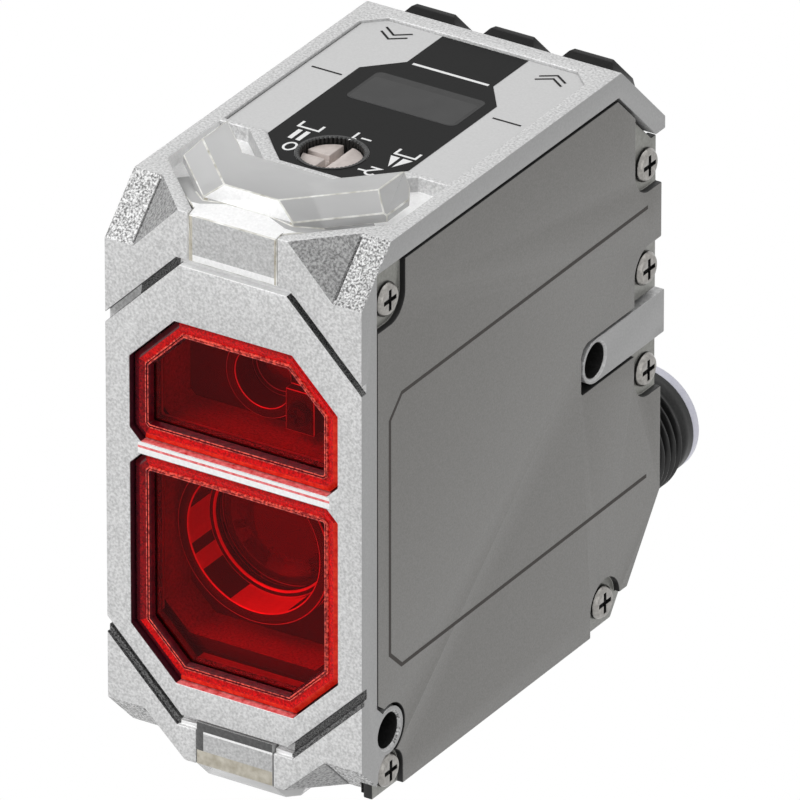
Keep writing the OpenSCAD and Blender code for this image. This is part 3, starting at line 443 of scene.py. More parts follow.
def softNode(nodeName, pieceName, width, finish=None, edgeFinish=-1, clamp=False):
    # a node with rounded edges, which catch the light as the real ones do; it stands for the node
    finish = finish or [slotOf[nodeName]]
    piece = addPiece(pieceName, weldedCopy(nodeName), finish, bodyOf[nodeName], (nodeName,))
    piece.data.shade_smooth()
    edges = piece.modifiers.new("edges", "BEVEL")
    edges.width = width * mm
    edges.segments = edgeLook["segments"]
    edges.limit_method = "ANGLE"
    edges.angle_limit = math.radians(edgeLook["angle"])
    edges.use_clamp_overlap = clamp
    edges.loop_slide = False
    edges.material = edgeFinish
    edges.harden_normals = True
    return piece


def facesOf(mesh):
    # every face's centre, in millimetres as place() takes them, its normal and its material's number
    centres, normals = np.empty((2, len(mesh.polygons) * 3))
    index = np.empty(len(mesh.polygons), dtype=np.int32)
    mesh.polygons.foreach_get("center", centres)
    mesh.polygons.foreach_get("normal", normals)
    mesh.polygons.foreach_get("material_index", index)
    x, y, z = (centres.reshape(-1, 3) - np.array([0.0, frontY, baseZ])).T / mm
    nx, ny, nz = normals.reshape(-1, 3).T
    return SimpleNamespace(x=x, y=y, z=z, nx=nx, ny=ny, nz=nz, index=index)


def paintFaces(mesh, finish, rules):
    # the last rule that holds for a face gives its material; a face without a rule keeps its own
    index = facesOf(mesh).index
    for name, mask in rules:
        index[mask] = finish.index(name)
    mesh.polygons.foreach_set("material_index", index)
    mesh.update()


def cutFront(mesh, cuts):
    # level and upright cuts part the faces that look forward, so that each part can have its own finish
    work = bmesh.new()
    work.from_mesh(mesh)
    for axis, at in cuts:
        front = [face for face in work.faces if face.normal.y < -straight]
        edges = {edge for face in front for edge in face.edges}
        corners = {corner for face in front for corner in face.verts}
        point, direction = (place(0, 0, at), (0, 0, 1)) if axis == "z" else (place(at, 0, 0), (1, 0, 0))
        bmesh.ops.bisect_plane(work, geom=[*corners, *edges, *front], plane_co=point, plane_no=direction,
                               dist=2 * weldDistance * mm)
    work.to_mesh(mesh)
    work.free()


def closedMesh(name, points, faces, index=None):
    # points in millimetres; doubles are joined and every face is turned outwards
    mesh = bpy.data.meshes.new(name)
    mesh.from_pydata(toFrame(points).tolist(), [], faces)
    if index is not None:
        mesh.polygons.foreach_set("material_index", index.astype(np.int32))
    work = bmesh.new()
    work.from_mesh(mesh)
    bmesh.ops.remove_doubles(work, verts=work.verts, dist=weldDistance * mm)
    bmesh.ops.recalc_face_normals(work, faces=work.faces)
    work.to_mesh(mesh)
    work.free()
    return mesh


def sheetMesh(name, points, closed=True, bands=None):
    # points[row, column] is a surface over two parameters, with its last column joined to its first;
    # closed puts a face on the first and the last row; bands give the material of each strip between two rows
    rows, columns = points.shape[:2]
    row = np.arange(rows - 1)[:, None] * columns
    column = np.arange(columns)[None, :]
    ahead = (column + 1) % columns
    quads = np.stack([row + column, row + ahead, row + columns + ahead, row + columns + column], axis=-1)
    faces = quads.reshape(-1, 4).tolist()
    index = np.repeat([0] * (rows - 1) if bands is None else bands, columns)
    if closed:
        faces.append(list(range(columns))[::-1])
        faces.append(list(range((rows - 1) * columns, rows * columns)))
        index = np.append(index, [0, 0])
    return closedMesh(name, points.reshape(-1, 3), faces, index)


def barFaces(corners, first):
    # two rings of corners, counted from the first: a face on each, and walls between them
    ring = first + np.arange(corners)
    ahead = np.roll(ring, -1)
    walls = np.stack([ring, ahead, ahead + corners, ring + corners], axis=1)
    return [ring[::-1].tolist(), (ring + corners).tolist()] + walls.tolist()


def slabMesh(name, outlines, lay, thickness):
    # flat prints and engravings: each outline becomes a thin plate; lay turns (u, v, height) to a place
    points, faces = [], []
    for outline in outlines:
        u, v = np.array(outline, dtype=float).T
        faces.extend(barFaces(len(u), len(points)))
        for height in (0.0, thickness):
            points.extend(lay(u, v, np.full(len(u), height)))
    return closedMesh(name, points, faces)


def shadeLineMesh(name, lines, radius, sides=8):
    # thin round bars: a circle square to each line, at its start and at its end
    offLine = [0.3, 0.5, 0.8]                   # a direction that no line has
    start, end = np.array(lines, dtype=float).transpose(1, 0, 2)[:, :, None, :]
    along = (end - start) / np.linalg.norm(end - start, axis=-1, keepdims=True)
    across = np.cross(along, offLine)
    across /= np.linalg.norm(across, axis=-1, keepdims=True)
    turn = np.linspace(0, 2 * np.pi, sides, endpoint=False)[None, :, None]
    circle = radius * (np.cos(turn) * across + np.sin(turn) * np.cross(along, across))
    points = np.stack([start + circle, end + circle], axis=1).reshape(-1, 3)
    faces = [face for first in range(0, len(points), 2 * sides) for face in barFaces(sides, first)]
    return closedMesh(name, points, faces)


def stroke(points, width, closed=False):
    # a line of even width along a path: each point moves along the mitre of its two neighbours' directions
    path = np.asarray(points, dtype=float)
    ahead = np.roll(path, -1, axis=0) - path
    behind = path - np.roll(path, 1, axis=0)
    if not closed:
        ahead[-1] = behind[-1]
        behind[0] = ahead[0]
    ahead /= np.linalg.norm(ahead, axis=1)[:, None]
    behind /= np.linalg.norm(behind, axis=1)[:, None]
    side = np.stack([-(ahead + behind)[:, 1], (ahead + behind)[:, 0]], axis=1)
    side /= np.linalg.norm(side, axis=1)[:, None]
    lean = side[:, 1] * ahead[:, 0] - side[:, 0] * ahead[:, 1]
    reach = width / 2 / np.clip(lean, sharpestMitre, 1.0)
    left, right = path + side * reach[:, None], path - side * reach[:, None]
    if closed:
        left, right = np.vstack([left, left[:1]]), np.vstack([right, right[:1]])
    return [[*left[i:i + 2], *right[i:i + 2][::-1]] for i in range(len(left) - 1)]


def arc(x0, y0, rx, ry, start, end, n=24):
    # points of an ellipse round (x0, y0), from one angle in degrees to another
    t = np.radians(np.linspace(start, end, n))
    return np.stack([x0 + rx * np.cos(t), y0 + ry * np.sin(t)], axis=1).tolist()


# CAD nodes keep their shape and get their finish; the holder's screw gets the slots' painted shade
for name, node in nodes.items():
    node.data.materials.clear()
    node.data.materials.append(materials[slotOf[name]])
nodes["holder_screw"].data.materials[0] = materials["screwShade"]


# housing: one casting, each of its faces finished as the photograph shows

housingLook = {
    "edge": 0.10,
    "holes": [(4.6, 6.45), (39.85, 28.4)], "holeRadius": 1.76,
    "ribLine": 30.88, "ribLineHalf": 0.12,
    # the groove has a gap of half width grooveFrom in the middle, and is level out to grooveLevel
    "grooveFrom": 4.3, "grooveLevel": 5.95, "upperGroove": 45.5, "lowerGroove": 16,
    "facetOuter": 10.6, "bevelFrom": 10.5, "cornerDepth": 12,
    "sideFrom": 13, "rearFrom": 45, "topFrom": 55.9,
    # parts of the casting: half width, depth from front to back, height from low to high
    "zones": {
        "hollow": {"half": 11.6, "front": 3.4, "low": 1.9, "high": 53.5},
        "groove": {"half": 13.6, "front": 0.02, "back": 1.2},
        "rib": {"half": 10.2, "back": 0.05, "low": 30.2, "high": 31.3},
        "pocket": {"half": 12.0, "front": 0.02, "back": 2.2, "high": 45.3},
        "underStrip": {"half": 5.95, "front": 0.02, "back": 1.2, "low": 50, "high": 52.2},
        "stripBed": {"half": 12.3, "back": 17.5, "low": 54, "high": 55.97},
        "stripNotch": {"half": 4.95, "front": 0.5, "back": 1.8, "low": 50.9, "high": 55.97},
    },
}
housingFinish = ["cast_silver", "castFront", "castFacet", "castSparkle", "castTop", "castSideShade", "castPaintedLight",
                 "castPaintedShade", "castGrooveShade", "pocketRedShade", "ribRedReflection"]


def inZone(x, y, z, half, front=-far, back=far, low=-far, high=far):
    # true for the centres that lie within the zone's limits
    return (np.abs(x) < half) & (y > front) & (y < back) & (z > low) & (z < high)


def cutRib(mesh, look):
    # the rib between the windows is polished and gets a painted highlight, with a painted red reflection
    # along it; the groove's ends are level
    rib, line, lineHalf = look["zones"]["rib"], look["ribLine"], look["ribLineHalf"]
    half, level = rib["half"], look["grooveLevel"]
    levels = [("z", at) for at in (rib["low"], line - lineHalf, line + lineHalf, rib["high"])]
    cutFront(mesh, levels + [("x", at) for at in (-half, half, -level, level)])


def paintHousing(mesh, look):
    # each part by where its faces lie and which way they lean; corner is a facet or what borders it
    faces = facesOf(mesh)
    x, y, z = faces.x, faces.y, faces.z
    nx, ny, nz = faces.nx, faces.ny, faces.nz
    wide, sideways, tilt = np.abs(x), np.abs(nx), np.abs(nz)
    zone = {name: inZone(x, y, z, **limits) for name, limits in look["zones"].items()}
    bore = np.zeros(len(x), dtype=bool)
    for holeY, holeZ in look["holes"]:
        bore |= (sideways < slant) & (np.hypot(y - holeY, z - holeZ) < look["holeRadius"])
    ends = (wide > look["grooveFrom"]) & ((z > look["upperGroove"]) | (z < look["lowerGroove"]))
    groove = zone["groove"] & ends & (ny < slant) & (sideways < straight)
    rib = zone["rib"] & (ny < -straight)
    pocket = zone["pocket"] & (z > wide) & (ny > -slant)
    nearFront = y < look["cornerDepth"]
    corner = nearFront & (sideways > slant) & (ny < -slant) & (tilt > slight)
    bevel = nearFront & (wide > look["bevelFrom"]) & (ny < -steep) & (tilt > steep)
    paintFaces(mesh, housingFinish, [
        ("castFront", ny < -straight),
        # painted shade: the hollow inside is painted near black
        ("castPaintedShade", zone["hollow"]),
        # painted shade: the sides and the rear, smoother than the rest, are painted darker
        ("castSideShade", (ny > slant) & (y > look["rearFrom"])),
        ("castSideShade", (sideways > straight) & (wide > look["sideFrom"])),
        ("castTop", (nz > straight) & (z > look["topFrom"])),
        ("castTop", (nz > steep) & (ny > steep)),
        # painted shade: the groove is painted near black
        ("castGrooveShade", groove),
        # painted highlights on the groove's level parts and on the casting under the strip
        ("castPaintedLight", groove & (wide < look["grooveLevel"])),
        ("castPaintedLight", zone["underStrip"]),
        ("castSparkle", corner | bevel),
        ("castFacet", corner & (wide < look["facetOuter"])),
        # painted light: the strip's bed and notch, in shade under the strip, are painted white
        ("castPaintedLight", zone["stripBed"] & (ny > -slant)),
        ("castPaintedLight", zone["stripNotch"]),
        # painted shade in the bores
        ("castPaintedShade", bore),
        # painted red shade on the window pockets' walls; painted red reflection on their upward floors
        ("pocketRedShade", pocket),
        ("ribRedReflection", pocket & (nz > straight)),
        # painted highlight on the polished rib, with a painted red reflection along its middle
        ("castPaintedLight", rib),
        ("ribRedReflection", rib & (np.abs(z - look["ribLine"]) < look["ribLineHalf"])),
    ])


housing = softNode("housing", "housingCasting", housingLook["edge"], housingFinish)
cutRib(housing.data, housingLook)
paintHousing(housing.data, housingLook)

# painted shade: dark lines along the borders of the grained facets, and wider ones beside the outer bevels
shadeLineLook = {
    "thin": 0.10, "wide": 0.20, "inset": 0.16, "start": 0.30, "sink": 0.07,
    # each facet: from and to across the width, and how far it is cut back
    "topFacet": (5.8, 10.6, 5.0), "lowFacet": (5.3, 9.7, 4.15),
}


def facetSeams(look):
    # two thin lines and one wide line at each top facet, one of each at each low facet
    inset, top = look["inset"], boxOf("housing")[1][2]
    near, low = look["start"] + look["sink"], look["start"] - look["sink"]
    thin, wide = [], []
    for side in (-1, 1):
        inner, outer, depth = look["topFacet"]
        thin.append([(side * inner, inset, top - inset), (side * outer, inset, top - depth)])
        thin.append([(side * inner, inset, top - inset), (side * outer, depth, top - inset)])
        wide.append([(side * outer, near, top - depth + low), (side * outer, depth - low, top - near)])
        inner, outer, depth = look["lowFacet"]
        thin.append([(side * inner, inset, inset), (side * outer, inset, depth)])
        wide.append([(side * outer, near, depth - low), (side * outer, depth - low, near)])
    return thin, wide


thinShadeLines, wideShadeLines = facetSeams(shadeLineLook)
for name, lines, radius in (("facetSeams", thinShadeLines, shadeLineLook["thin"]),
                            ("bevelSeams", wideShadeLines, shadeLineLook["wide"])):
    addPiece(name, shadeLineMesh(name, lines, radius), ["castGrooveShade"])
print("housing is finished")


# side cover, its screws and the engraved border

coverLook = {
    "edge": 0.12, "screwEdge": 0.07, "sunk": 0.2,
    "line": 0.38, "depth": 0.012,
    "border": [(48.7, 40.3), (6.7, 40.0), (4.7, 38.0), (4.7, 14.2), (6.7, 12.3), (48.7, 12.6)],
}
coverFinish = ["cover_grey", "coverFlange", "coverEdgeShade"]
screwFinish = ["screw_steel", "screwShade"]
coverX = boxOf("side_cover")[1][0]          # the cover's outer side


def paintCover(mesh):
    # its outer side is grey, the parts that lie lower are bare, and the walls are painted dark as shade
    faces = facesOf(mesh)
    lower = faces.x < coverX - coverLook["sunk"]
    paintFaces(mesh, coverFinish, [
        ("coverEdgeShade", np.abs(faces.nx) < slant),
        ("coverFlange", (faces.nx > straight) & lower),
    ])


def paintScrews(mesh):
    # the cross slots get painted shade: their walls and floors
    faces = facesOf(mesh)
    lower = faces.x < coverX - coverLook["sunk"]
    paintFaces(mesh, screwFinish, [("screwShade", (faces.nx < slant) | ((faces.nx > straight) & lower))])


def onCover(u, v, height):
    # u runs along the depth, v up, on the cover's outer side
    return np.stack([coverX + height, u, v], axis=1)


cover = softNode("side_cover", "coverPlate", coverLook["edge"], coverFinish)
paintCover(cover.data)
screws = softNode("cover_screws", "coverScrewHeads", coverLook["screwEdge"], screwFinish)
paintScrews(screws.data)
border = stroke(coverLook["border"], coverLook["line"])
borderMesh = slabMesh("coverBorder", border, onCover, coverLook["depth"])
addPiece("coverBorder", borderMesh, ["etchBrown"])
print("cover is finished")


# red windows: a tray with a raised edge, a textured rim, two fine ridges and a clear floor

windowLook = {
    "longCut": 4.75, "shortCut": 1.1, "shadeLeft": -9.4,
    # outline set-out, depth behind the front face and finish, from the back's middle round to the front's
    "profile": [
        # the walls, the back and the trough between the ridges get painted shade, and the slanting outer band
        # a painted highlight
        (-1.82, 2.85, "window_red"), (-1.70, 2.00, "windowEdgeShade"), (-0.02, 1.95, "windowEdgeShade"),
        (0.00, 0.80, "windowEdgeShade"), (-0.05, 0.72, "windowEdgeShade"), (-0.62, 0.46, "windowHighlight"),
        (-0.70, 0.50, "windowRim"), (-1.20, 0.60, "windowRim"), (-1.27, 0.47, "windowRidge"),
        (-1.36, 0.46, "windowRidge"), (-1.42, 0.60, "windowEdgeShade"), (-1.50, 0.47, "windowRidge"),
        (-1.60, 0.50, "windowRidge"), (-1.68, 0.75, "windowEdgeShade"), (-1.76, 1.15, "windowEdgeShade"),
        (-1.80, 1.20, "window_red"),
    ],
}
windowFinish = ["window_red", "windowRim", "windowRidge", "windowEdgeShade", "windowHighlight", "rimShade"]


def octagon(halfWidth, low, high, lowCut, highCut, grow):
    # a rectangle with 45 degree corners, set out by grow
    w, a, b = halfWidth + grow, low - grow, high + grow
    gain = (2 - math.sqrt(2)) * grow
    p, q = lowCut + gain, highCut + gain
    return [(w - p, a), (w, a + p), (w, b - q), (w - q, b), (q - w, b), (-w, b - q), (-w, a + p), (p - w, a)]


def addWindow(name, nodeName, lowCut, highCut):
    # the profile carried round the outline; the band before each point has that point's finish
    lowest, highest = boxOf(nodeName)
    rows, bands = [], []
    for grow, depth, finish in windowLook["profile"]:
        outline = octagon(highest[0], lowest[2], highest[2], lowCut, highCut, grow)
        rows.append([(x, depth, z) for x, z in outline])
        bands.append(windowFinish.index(finish))
    mesh = sheetMesh(name, np.array(rows), bands=bands[1:])
    # the slanting outer band has painted shade on the left, a painted highlight below and the rim's colour
    # above
    faces = facesOf(mesh)
    slanting = faces.index == windowFinish.index("windowHighlight")
    paintFaces(mesh, windowFinish, [
        ("windowRim", slanting & (faces.nz > slight)),
        ("windowEdgeShade", slanting & (faces.nx < -slight)),
    ])
    # painted shade on the rim's left part
    rim = facesOf(mesh).index == windowFinish.index("windowRim")
    paintFaces(mesh, windowFinish, [("rimShade", rim & (faces.x < windowLook["shadeLeft"]))])
    return addPiece(name, mesh, windowFinish, replaced=(nodeName,))


addWindow("upperWindowPane", "upper_window", windowLook["shortCut"], windowLook["longCut"])
addWindow("lowerWindowPane", "lower_window", windowLook["longCut"], windowLook["shortCut"])
print("windows are finished")


# receiver lens mount and emitter holder: painted highlights on their edges and inside the mount

opticsLook = {
    "barrelEdge": 0.12, "ringEdge": 0.20, "holderEdge": 0.08, "chassisEdge": 0.08,
    "bore": 7.4, "litTo": 10.5, "litTilt": 0.5,
    "blades": [(168, 196), (206, 220), (248, 300)],    # degrees round the bore
}
barrelFinish = ["barrel_black", "ringHighlight"]
holderFinish = ["optics_black", "ringHighlight"]
chassisFinish = ["optics_black", "opticsLit"]


def paintBarrel(mesh, look):
    # the bore gets a painted highlight where the bearing of a face from the barrel's axis lies in one of the
    # blades
    faces = facesOf(mesh)
    middle = boxOf("lens_barrel").mean(axis=0)
    across, upward = faces.x - middle[0], faces.z - middle[2]
    walls = (np.hypot(across, upward) < look["bore"]) & (np.abs(faces.ny) < slant)
    lit = walls & (faces.y < look["litTo"])
    bearing = np.degrees(np.arctan2(upward, across)) % 360
    blades = np.any([(bearing > start) & (bearing < end) for start, end in look["blades"]], axis=0)
    paintFaces(mesh, barrelFinish, [("ringHighlight", lit & blades)])


def paintChassis(mesh):
    # what looks right or up is painted lighter, as painted light
    faces = facesOf(mesh)
    paintFaces(mesh, chassisFinish, [("opticsLit", (faces.nx > opticsLook["litTilt"]) | (faces.nz > slant))])


barrel = softNode("lens_barrel", "barrelFins", opticsLook["barrelEdge"], barrelFinish, edgeFinish=1)
paintBarrel(barrel.data, opticsLook)
softNode("lens_ring", "lensClamp", opticsLook["ringEdge"], barrelFinish, edgeFinish=1)
softNode("emitter_holder", "emitterBracket", opticsLook["holderEdge"], holderFinish, edgeFinish=1)
chassis = softNode("optics_chassis", "chassisFrame", opticsLook["chassisEdge"], chassisFinish)
paintChassis(chassis.data)
print("optics are finished")


# light strips: clear plastic with soft edges that get painted highlights; their front faces are painted as
# what shows through them, with painted shade and painted highlights

stripLook = {
    "upperEdge": 0.10, "lowerEdge": 0.05,
    "apron": 4.2, "apronFrom": 54, "foot": 51.9, "goldLeft": -4.25, "goldRight": 4.42,
    "shadeLeft": -3.35, "line": 3.5, "lineWidth": 0.22, "low": 1.5,
}
stripFinish = ["strip_clear", "stripEdgeHighlight", "stripShade", "stripSand", "stripBeige", "castPaintedLight"]


def dressUpperStrip(look):
    # sandy front with a painted highlight on its foot and a pale gold border on either side; the apron's top
    # has a painted highlight
    strip = softNode("upper_light_strip", "upperLightGuide", look["upperEdge"], stripFinish, edgeFinish=1)
    cutFront(strip.data, [("z", look["foot"]), ("x", look["goldLeft"]), ("x", look["goldRight"])])
    faces = facesOf(strip.data)
    x, z = faces.x, faces.z
    front = faces.ny < -straight
    paintFaces(strip.data, stripFinish, [
        ("castPaintedLight", (faces.y < look["apron"]) & (z > look["apronFrom"]) & (faces.nz > slant)),
        ("stripSand", front),
        ("castPaintedLight", front & (z < look["foot"])),
        ("stripBeige", front & ((x < look["goldLeft"]) | (x > look["goldRight"]))),
    ])


def dressLowerStrip(look):
    # sandy front, with painted shade at the left and above, a painted highlight line under the shade and a
    # pale gold foot
    strip = softNode("lower_light_strip", "lowerLightGuide", look["lowerEdge"], stripFinish, edgeFinish=1,
                     clamp=True)
    line, lineFoot = look["line"], look["line"] - look["lineWidth"]
    cutFront(strip.data, [("x", look["shadeLeft"]), ("z", line), ("z", lineFoot), ("z", look["low"])])
    faces = facesOf(strip.data)
    x, z = faces.x, faces.z
    front = faces.ny < -straight
    paintFaces(strip.data, stripFinish, [
        ("stripSand", front),
        ("stripShade", front & ((z > line) | (x < look["shadeLeft"]))),
        ("stripBeige", front & (z < look["low"])),
        ("castPaintedLight", front & (z < line) & (z > lineFoot) & (x > look["shadeLeft"])),
    ])


dressUpperStrip(stripLook)
dressLowerStrip(stripLook)
print("light strips are finished")


# operating panel: the print on the sheet

panelLook = {
    "gap": 0.02, "thickness": 0.012,
    # the black field: half width, front and its narrower half width, end of the corner cuts, plates' border
    "fieldHalf": 7.34, "fieldFront": 13.2, "frontHalf": 3.4, "frontCut": 17.4, "split": 20.7,
    "dialHole": 3.38, "holeSteps": 40, "paneLap": 0.3,
    "stem": [(-4.25, 36.0), (4.95, 42.05)],
}
panelTop = boxOf("panel_sheet")[1][2] + panelLook["gap"]    # the foot of the print
dialX, dialY = boxOf("dial").mean(axis=0)[:2]
paneLow, paneHigh = boxOf("display_pane")[:, :2]


def onPanel(u, v, height):
    # u runs across the width, v to the rear, on the sheet
    return np.stack([u, v, panelTop + height], axis=1)


def onPrint(u, v, height):
    # the same on top of the black field
    return onPanel(u, v, panelLook["thickness"] + height)


def fieldPlates(look):
    # plates left of the dial, right of it, between dial and display, round the display, and the stem
    half, frontHalf, front = look["fieldHalf"], look["frontHalf"], look["fieldFront"]
    cut, split, hole = look["frontCut"], look["split"], look["dialHole"]
    (left, low), (right, high) = paneLow + look["paneLap"], paneHigh - look["paneLap"]
    holeLeft = arc(dialX, dialY, hole, hole, 90, 270, look["holeSteps"])
    holeRight = arc(dialX, dialY, hole, hole, -90, 90, look["holeSteps"])
    (stemLeft, stemFrom), (stemRight, stemTo) = look["stem"]
    return [
        [(-half, cut), (-half, split), (dialX, split), *holeLeft, (dialX, front), (-frontHalf, front)],
        [(half, split), (half, cut), (frontHalf, front), (dialX, front), *holeRight, (dialX, split)],
        [(-half, split), (half, split), (half, low), (-half, low)],
        [(-half, low), (left, low), (left, high), (-half, high)],
        [(right, low), (half, low), (half, high), (right, high)],
        [(-half, high), (half, high), (stemRight, stemFrom), (stemRight, stemTo), (stemLeft, stemTo),
         (stemLeft, stemFrom)],
    ]


# the dark marks: two short rules, and chevrons that point to the front at the left, to the rear at the right
darkLook = {
    "line": 0.22,
    "rules": [[(-11.1, 30.7), (-7.9, 30.7)], [(8.2, 30.7), (11.2, 30.7)]],
    # middle, tip, and how far the arms reach back from it
    "chevrons": [(-8.15, 39.0, 1.05), (-8.15, 39.9, 1.05), (8.75, 40.95, -0.95), (8.75, 40.2, -0.95)],
    "chevronHalf": 1.4,
}
# the white marks: plain figures round the dial, drawn about (0, 0), and small signs beside it
whiteLook = {
    "line": 0.24, "bracketLine": 0.26, "barLine": 0.46, "ruleLine": 0.34,
    "figureSize": 1.5,
    "figures": [
        # place from the dial's middle, path, closed
        ((-3.85, -0.95), arc(0, 0, 0.36, 0.5, 0, 345), True),
        ((0.1, 3.85), [(-0.22, 0.28), (0.04, 0.5), (0.04, -0.5)], False),
        ((5.0, -1.2), arc(0, 0.2, 0.3, 0.3, 170, -20, 14) + [(-0.32, -0.48), (0.34, -0.48)], False),
    ],
    "dashes": [[(0.35, 21.0), (1.4, 21.0)], [(3.3, 15.75), (4.05, 15.8)]],
    "brackets": [(-5.75, -3.62), (4.52, 6.66)], "bracketLow": 20.05, "bracketHigh": 21.1,
    "bars": [-5.16, -4.33], "barLow": 17.6, "barHigh": 19.5,
    "triangles": [[(5.35, 17.56), (5.34, 19.57), (4.40, 19.57)],
                  [(5.70, 17.58), (6.71, 19.57), (5.71, 19.57)]],
    "rule": [(-3.6, 35.95), (4.5, 35.95)],
}


def darkMarks(look):
    # a chevron runs from one arm's end over its tip to the other's
    half = look["chevronHalf"]
    chevrons = [[(x - half, tip + arm), (x, tip), (x + half, tip + arm)] for x, tip, arm in look["chevrons"]]
    return [plate for path in look["rules"] + chevrons for plate in stroke(path, look["line"])]


def whiteMarks(look):
    # the figures are turned so that they read from the rear
    size = look["figureSize"]
    plates = []
    for (atX, atY), path, closed in look["figures"]:
        turned = [(dialX + atX - size * x, dialY + atY - size * y) for x, y in path]
        plates += stroke(turned, look["line"], closed)
    for path in look["dashes"]:
        plates += stroke(path, look["line"])
    low, high = look["bracketLow"], look["bracketHigh"]
    for left, right in look["brackets"]:
        plates += stroke([(left, high), (left, low), (right, low), (right, high)], look["bracketLine"])
    for middle in look["bars"]:
        plates += stroke([(middle, look["barLow"]), (middle, look["barHigh"])], look["barLine"])
    return plates + look["triangles"] + stroke(look["rule"], look["ruleLine"])


for name, plates, lay, finish in (("panelField", fieldPlates(panelLook), onPanel, "printBlack"),
                                  ("panelMarksDark", darkMarks(darkLook), onPanel, "printBlack"),
                                  ("panelMarksWhite", whiteMarks(whiteLook), onPrint, "printWhite")):
    addPiece(name, slabMesh(name, plates, lay, panelLook["thickness"]), [finish])


# display: a rounded dark frame with the lighter glass inside it, both level with the print

displayLook = {
    "cornerSteps": 7,
    # left, front, right, rear, corner radius, underside and top from the print's foot, bevel
    "frame": (-5.47, 27.22, 6.27, 33.08, 0.7, -2.27, 0.03, 0.05),
    "glass": (-5.1, 27.4, 5.9, 32.0, 0.4, 0.02, 0.036, 0.004),
}


def roundedPlate(left, front, right, rear, radius, low, high, edge):
    # rows of one rounded rectangle, from the underside over the bevelled edge to the top
    corners = [(right - radius, rear - radius, 0), (left + radius, rear - radius, 90),
               (left + radius, front + radius, 180), (right - radius, front + radius, 270)]
    steps = displayLook["cornerSteps"]
    rows = []
    for inset, z in ((edge, low), (0.0, low + edge), (0.0, high - edge), (edge, high)):
        bend = radius - inset
        rows.append([(*point, panelTop + z) for cx, cy, start in corners
                     for point in arc(cx, cy, bend, bend, start, start + 90, steps)])
    return np.array(rows)


frameMesh = sheetMesh("displayGlass", roundedPlate(*displayLook["frame"]))
addPiece("displayGlass", frameMesh, ["displayBand"], replaced=("display_pane",))
glassMesh = sheetMesh("displayView", roundedPlate(*displayLook["glass"]))
addPiece("displayView", glassMesh, ["displayGlass"])


# knurled ring round the dial, the dial and the keys

ringLook = {
    "teeth": 48, "stepsPerTooth": 6, "outer": 3.33, "inner": 3.04, "depth": 0.13,
    "low": -2.22, "high": 0.06, "rim": 0.12, "rimDrop": 0.1,    # heights from the print's foot
}
controlEdge = 0.10                          # rounding of the dial and the keys


def addDialRing(look):
    # the inner wall's radius is inner - depth * |sin(teeth * angle / 2)|
    turns = np.linspace(0, 2 * np.pi, look["teeth"] * look["stepsPerTooth"], endpoint=False)
    outer, low, high = look["outer"], look["low"], look["high"]
    wall = look["inner"] - look["depth"] * np.abs(np.sin(turns * look["teeth"] / 2))
    profile = [(outer, low), (outer, high), (wall + look["rim"], high), (wall, high - look["rimDrop"]),
               (wall, low), (outer, low)]
    rows = []
    for radius, height in profile:
        level = np.full_like(turns, panelTop + height)
        rows.append(np.stack([dialX + radius * np.cos(turns), dialY + radius * np.sin(turns), level], axis=1))
    mesh = sheetMesh("dialRing", np.array(rows), closed=False)
    addPiece("dialRing", mesh, ["knurl"], replaced=("dial_seal",))


addDialRing(ringLook)
for nodeName, pieceName in (("dial", "dialRotor"), ("key_left", "keyCapLeft"), ("key_centre", "keyCapCentre"),
                            ("key_right", "keyCapRight")):
    softNode(nodeName, pieceName, controlEdge)
print("panel is finished")


# plug: the threaded shell, its end ring and the elbow

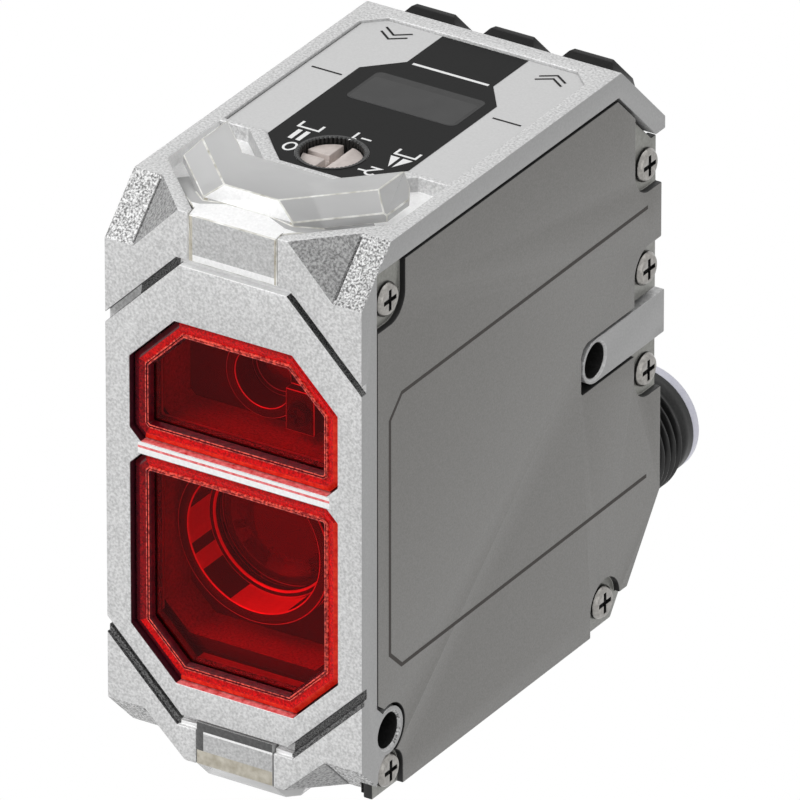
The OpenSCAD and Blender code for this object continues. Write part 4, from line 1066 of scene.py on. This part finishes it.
plugLook = {
    "pitch": 1.0, "radius": 6.0, "threadDepth": 0.62, "threadStart": 59.3, "threadEnd": 68.4, "fade": 0.8,
    "crest": 1.15, "flank": 3.4,
    "aroundSteps": 96, "alongSteps": 150, "edge": 0.15,
    # radius and place along the axis: over the collar to the thread, and from the thread into the bore
    "lead": [(2.3, 56.1), (6.3, 56.1), (6.4, 56.2), (6.4, 57.5), (6.3, 57.6), (5.6, 57.6), (5.45, 57.75),
             (5.45, 58.95), (5.5, 59.05)],
    "tail": [(5.42, 68.5), (5.55, 68.6), (5.55, 70.3), (4.4, 70.3), (4.35, 70.2), (4.35, 57.0), (2.25, 57.0),
             (2.2, 56.15)],
    "collarBands": 5,                       # bands of the lead in the collar's grey, as is all of the tail
}
plugFinish = ["plug_black", "plugCollar"]


def addPlugShell(look):
    # the thread: radius as a function of the angle and of the distance along the axis, a ridge that climbs
    # one pitch a turn and fades out at both ends; the collar, the bore and the floor close the shell
    turns = np.linspace(0, 2 * np.pi, look["aroundSteps"], endpoint=False)
    start, end = look["threadStart"], look["threadEnd"]
    angle, along = np.meshgrid(turns, np.linspace(start, end, look["alongSteps"]))
    phase = (along / look["pitch"] - angle / (2 * np.pi)) % 1.0
    ridge = np.clip(look["crest"] - np.abs(phase - 0.5) * look["flank"], 0, 1)
    fade = np.clip((along - start) / look["fade"], 0, 1) * np.clip((end - along) / look["fade"], 0, 1)
    thread = look["radius"] - look["threadDepth"] * (1 - ridge * fade)
    lead, tail = np.array(look["lead"]), np.array(look["tail"])
    around = np.ones((1, len(turns)))
    radii = np.vstack([lead[:, :1] * around, thread, tail[:, :1] * around])
    places = np.vstack([lead[:, 1:] * around, along, tail[:, 1:] * around])
    axisZ = boxOf("plug_shell")[:, 2].mean()
    points = np.stack([radii * np.cos(turns), places, axisZ + radii * np.sin(turns)], axis=-1)
    points = np.concatenate([points, points[:1]])
    bands = np.zeros(len(points) - 1, dtype=int)
    bands[:look["collarBands"]] = plugFinish.index("plugCollar")
    bands[len(lead) + len(along):] = plugFinish.index("plugCollar")
    mesh = sheetMesh("plugThread", points, closed=False, bands=bands)
    piece = addPiece("plugThread", mesh, plugFinish, "plug", ("plug_shell",))
    piece.data.shade_smooth()


addPlugShell(plugLook)
softNode("plug_end_ring", "plugEndCollar", plugLook["edge"])
softNode("plug_elbow", "plugElbowCasting", plugLook["edge"])
print("plug is finished")
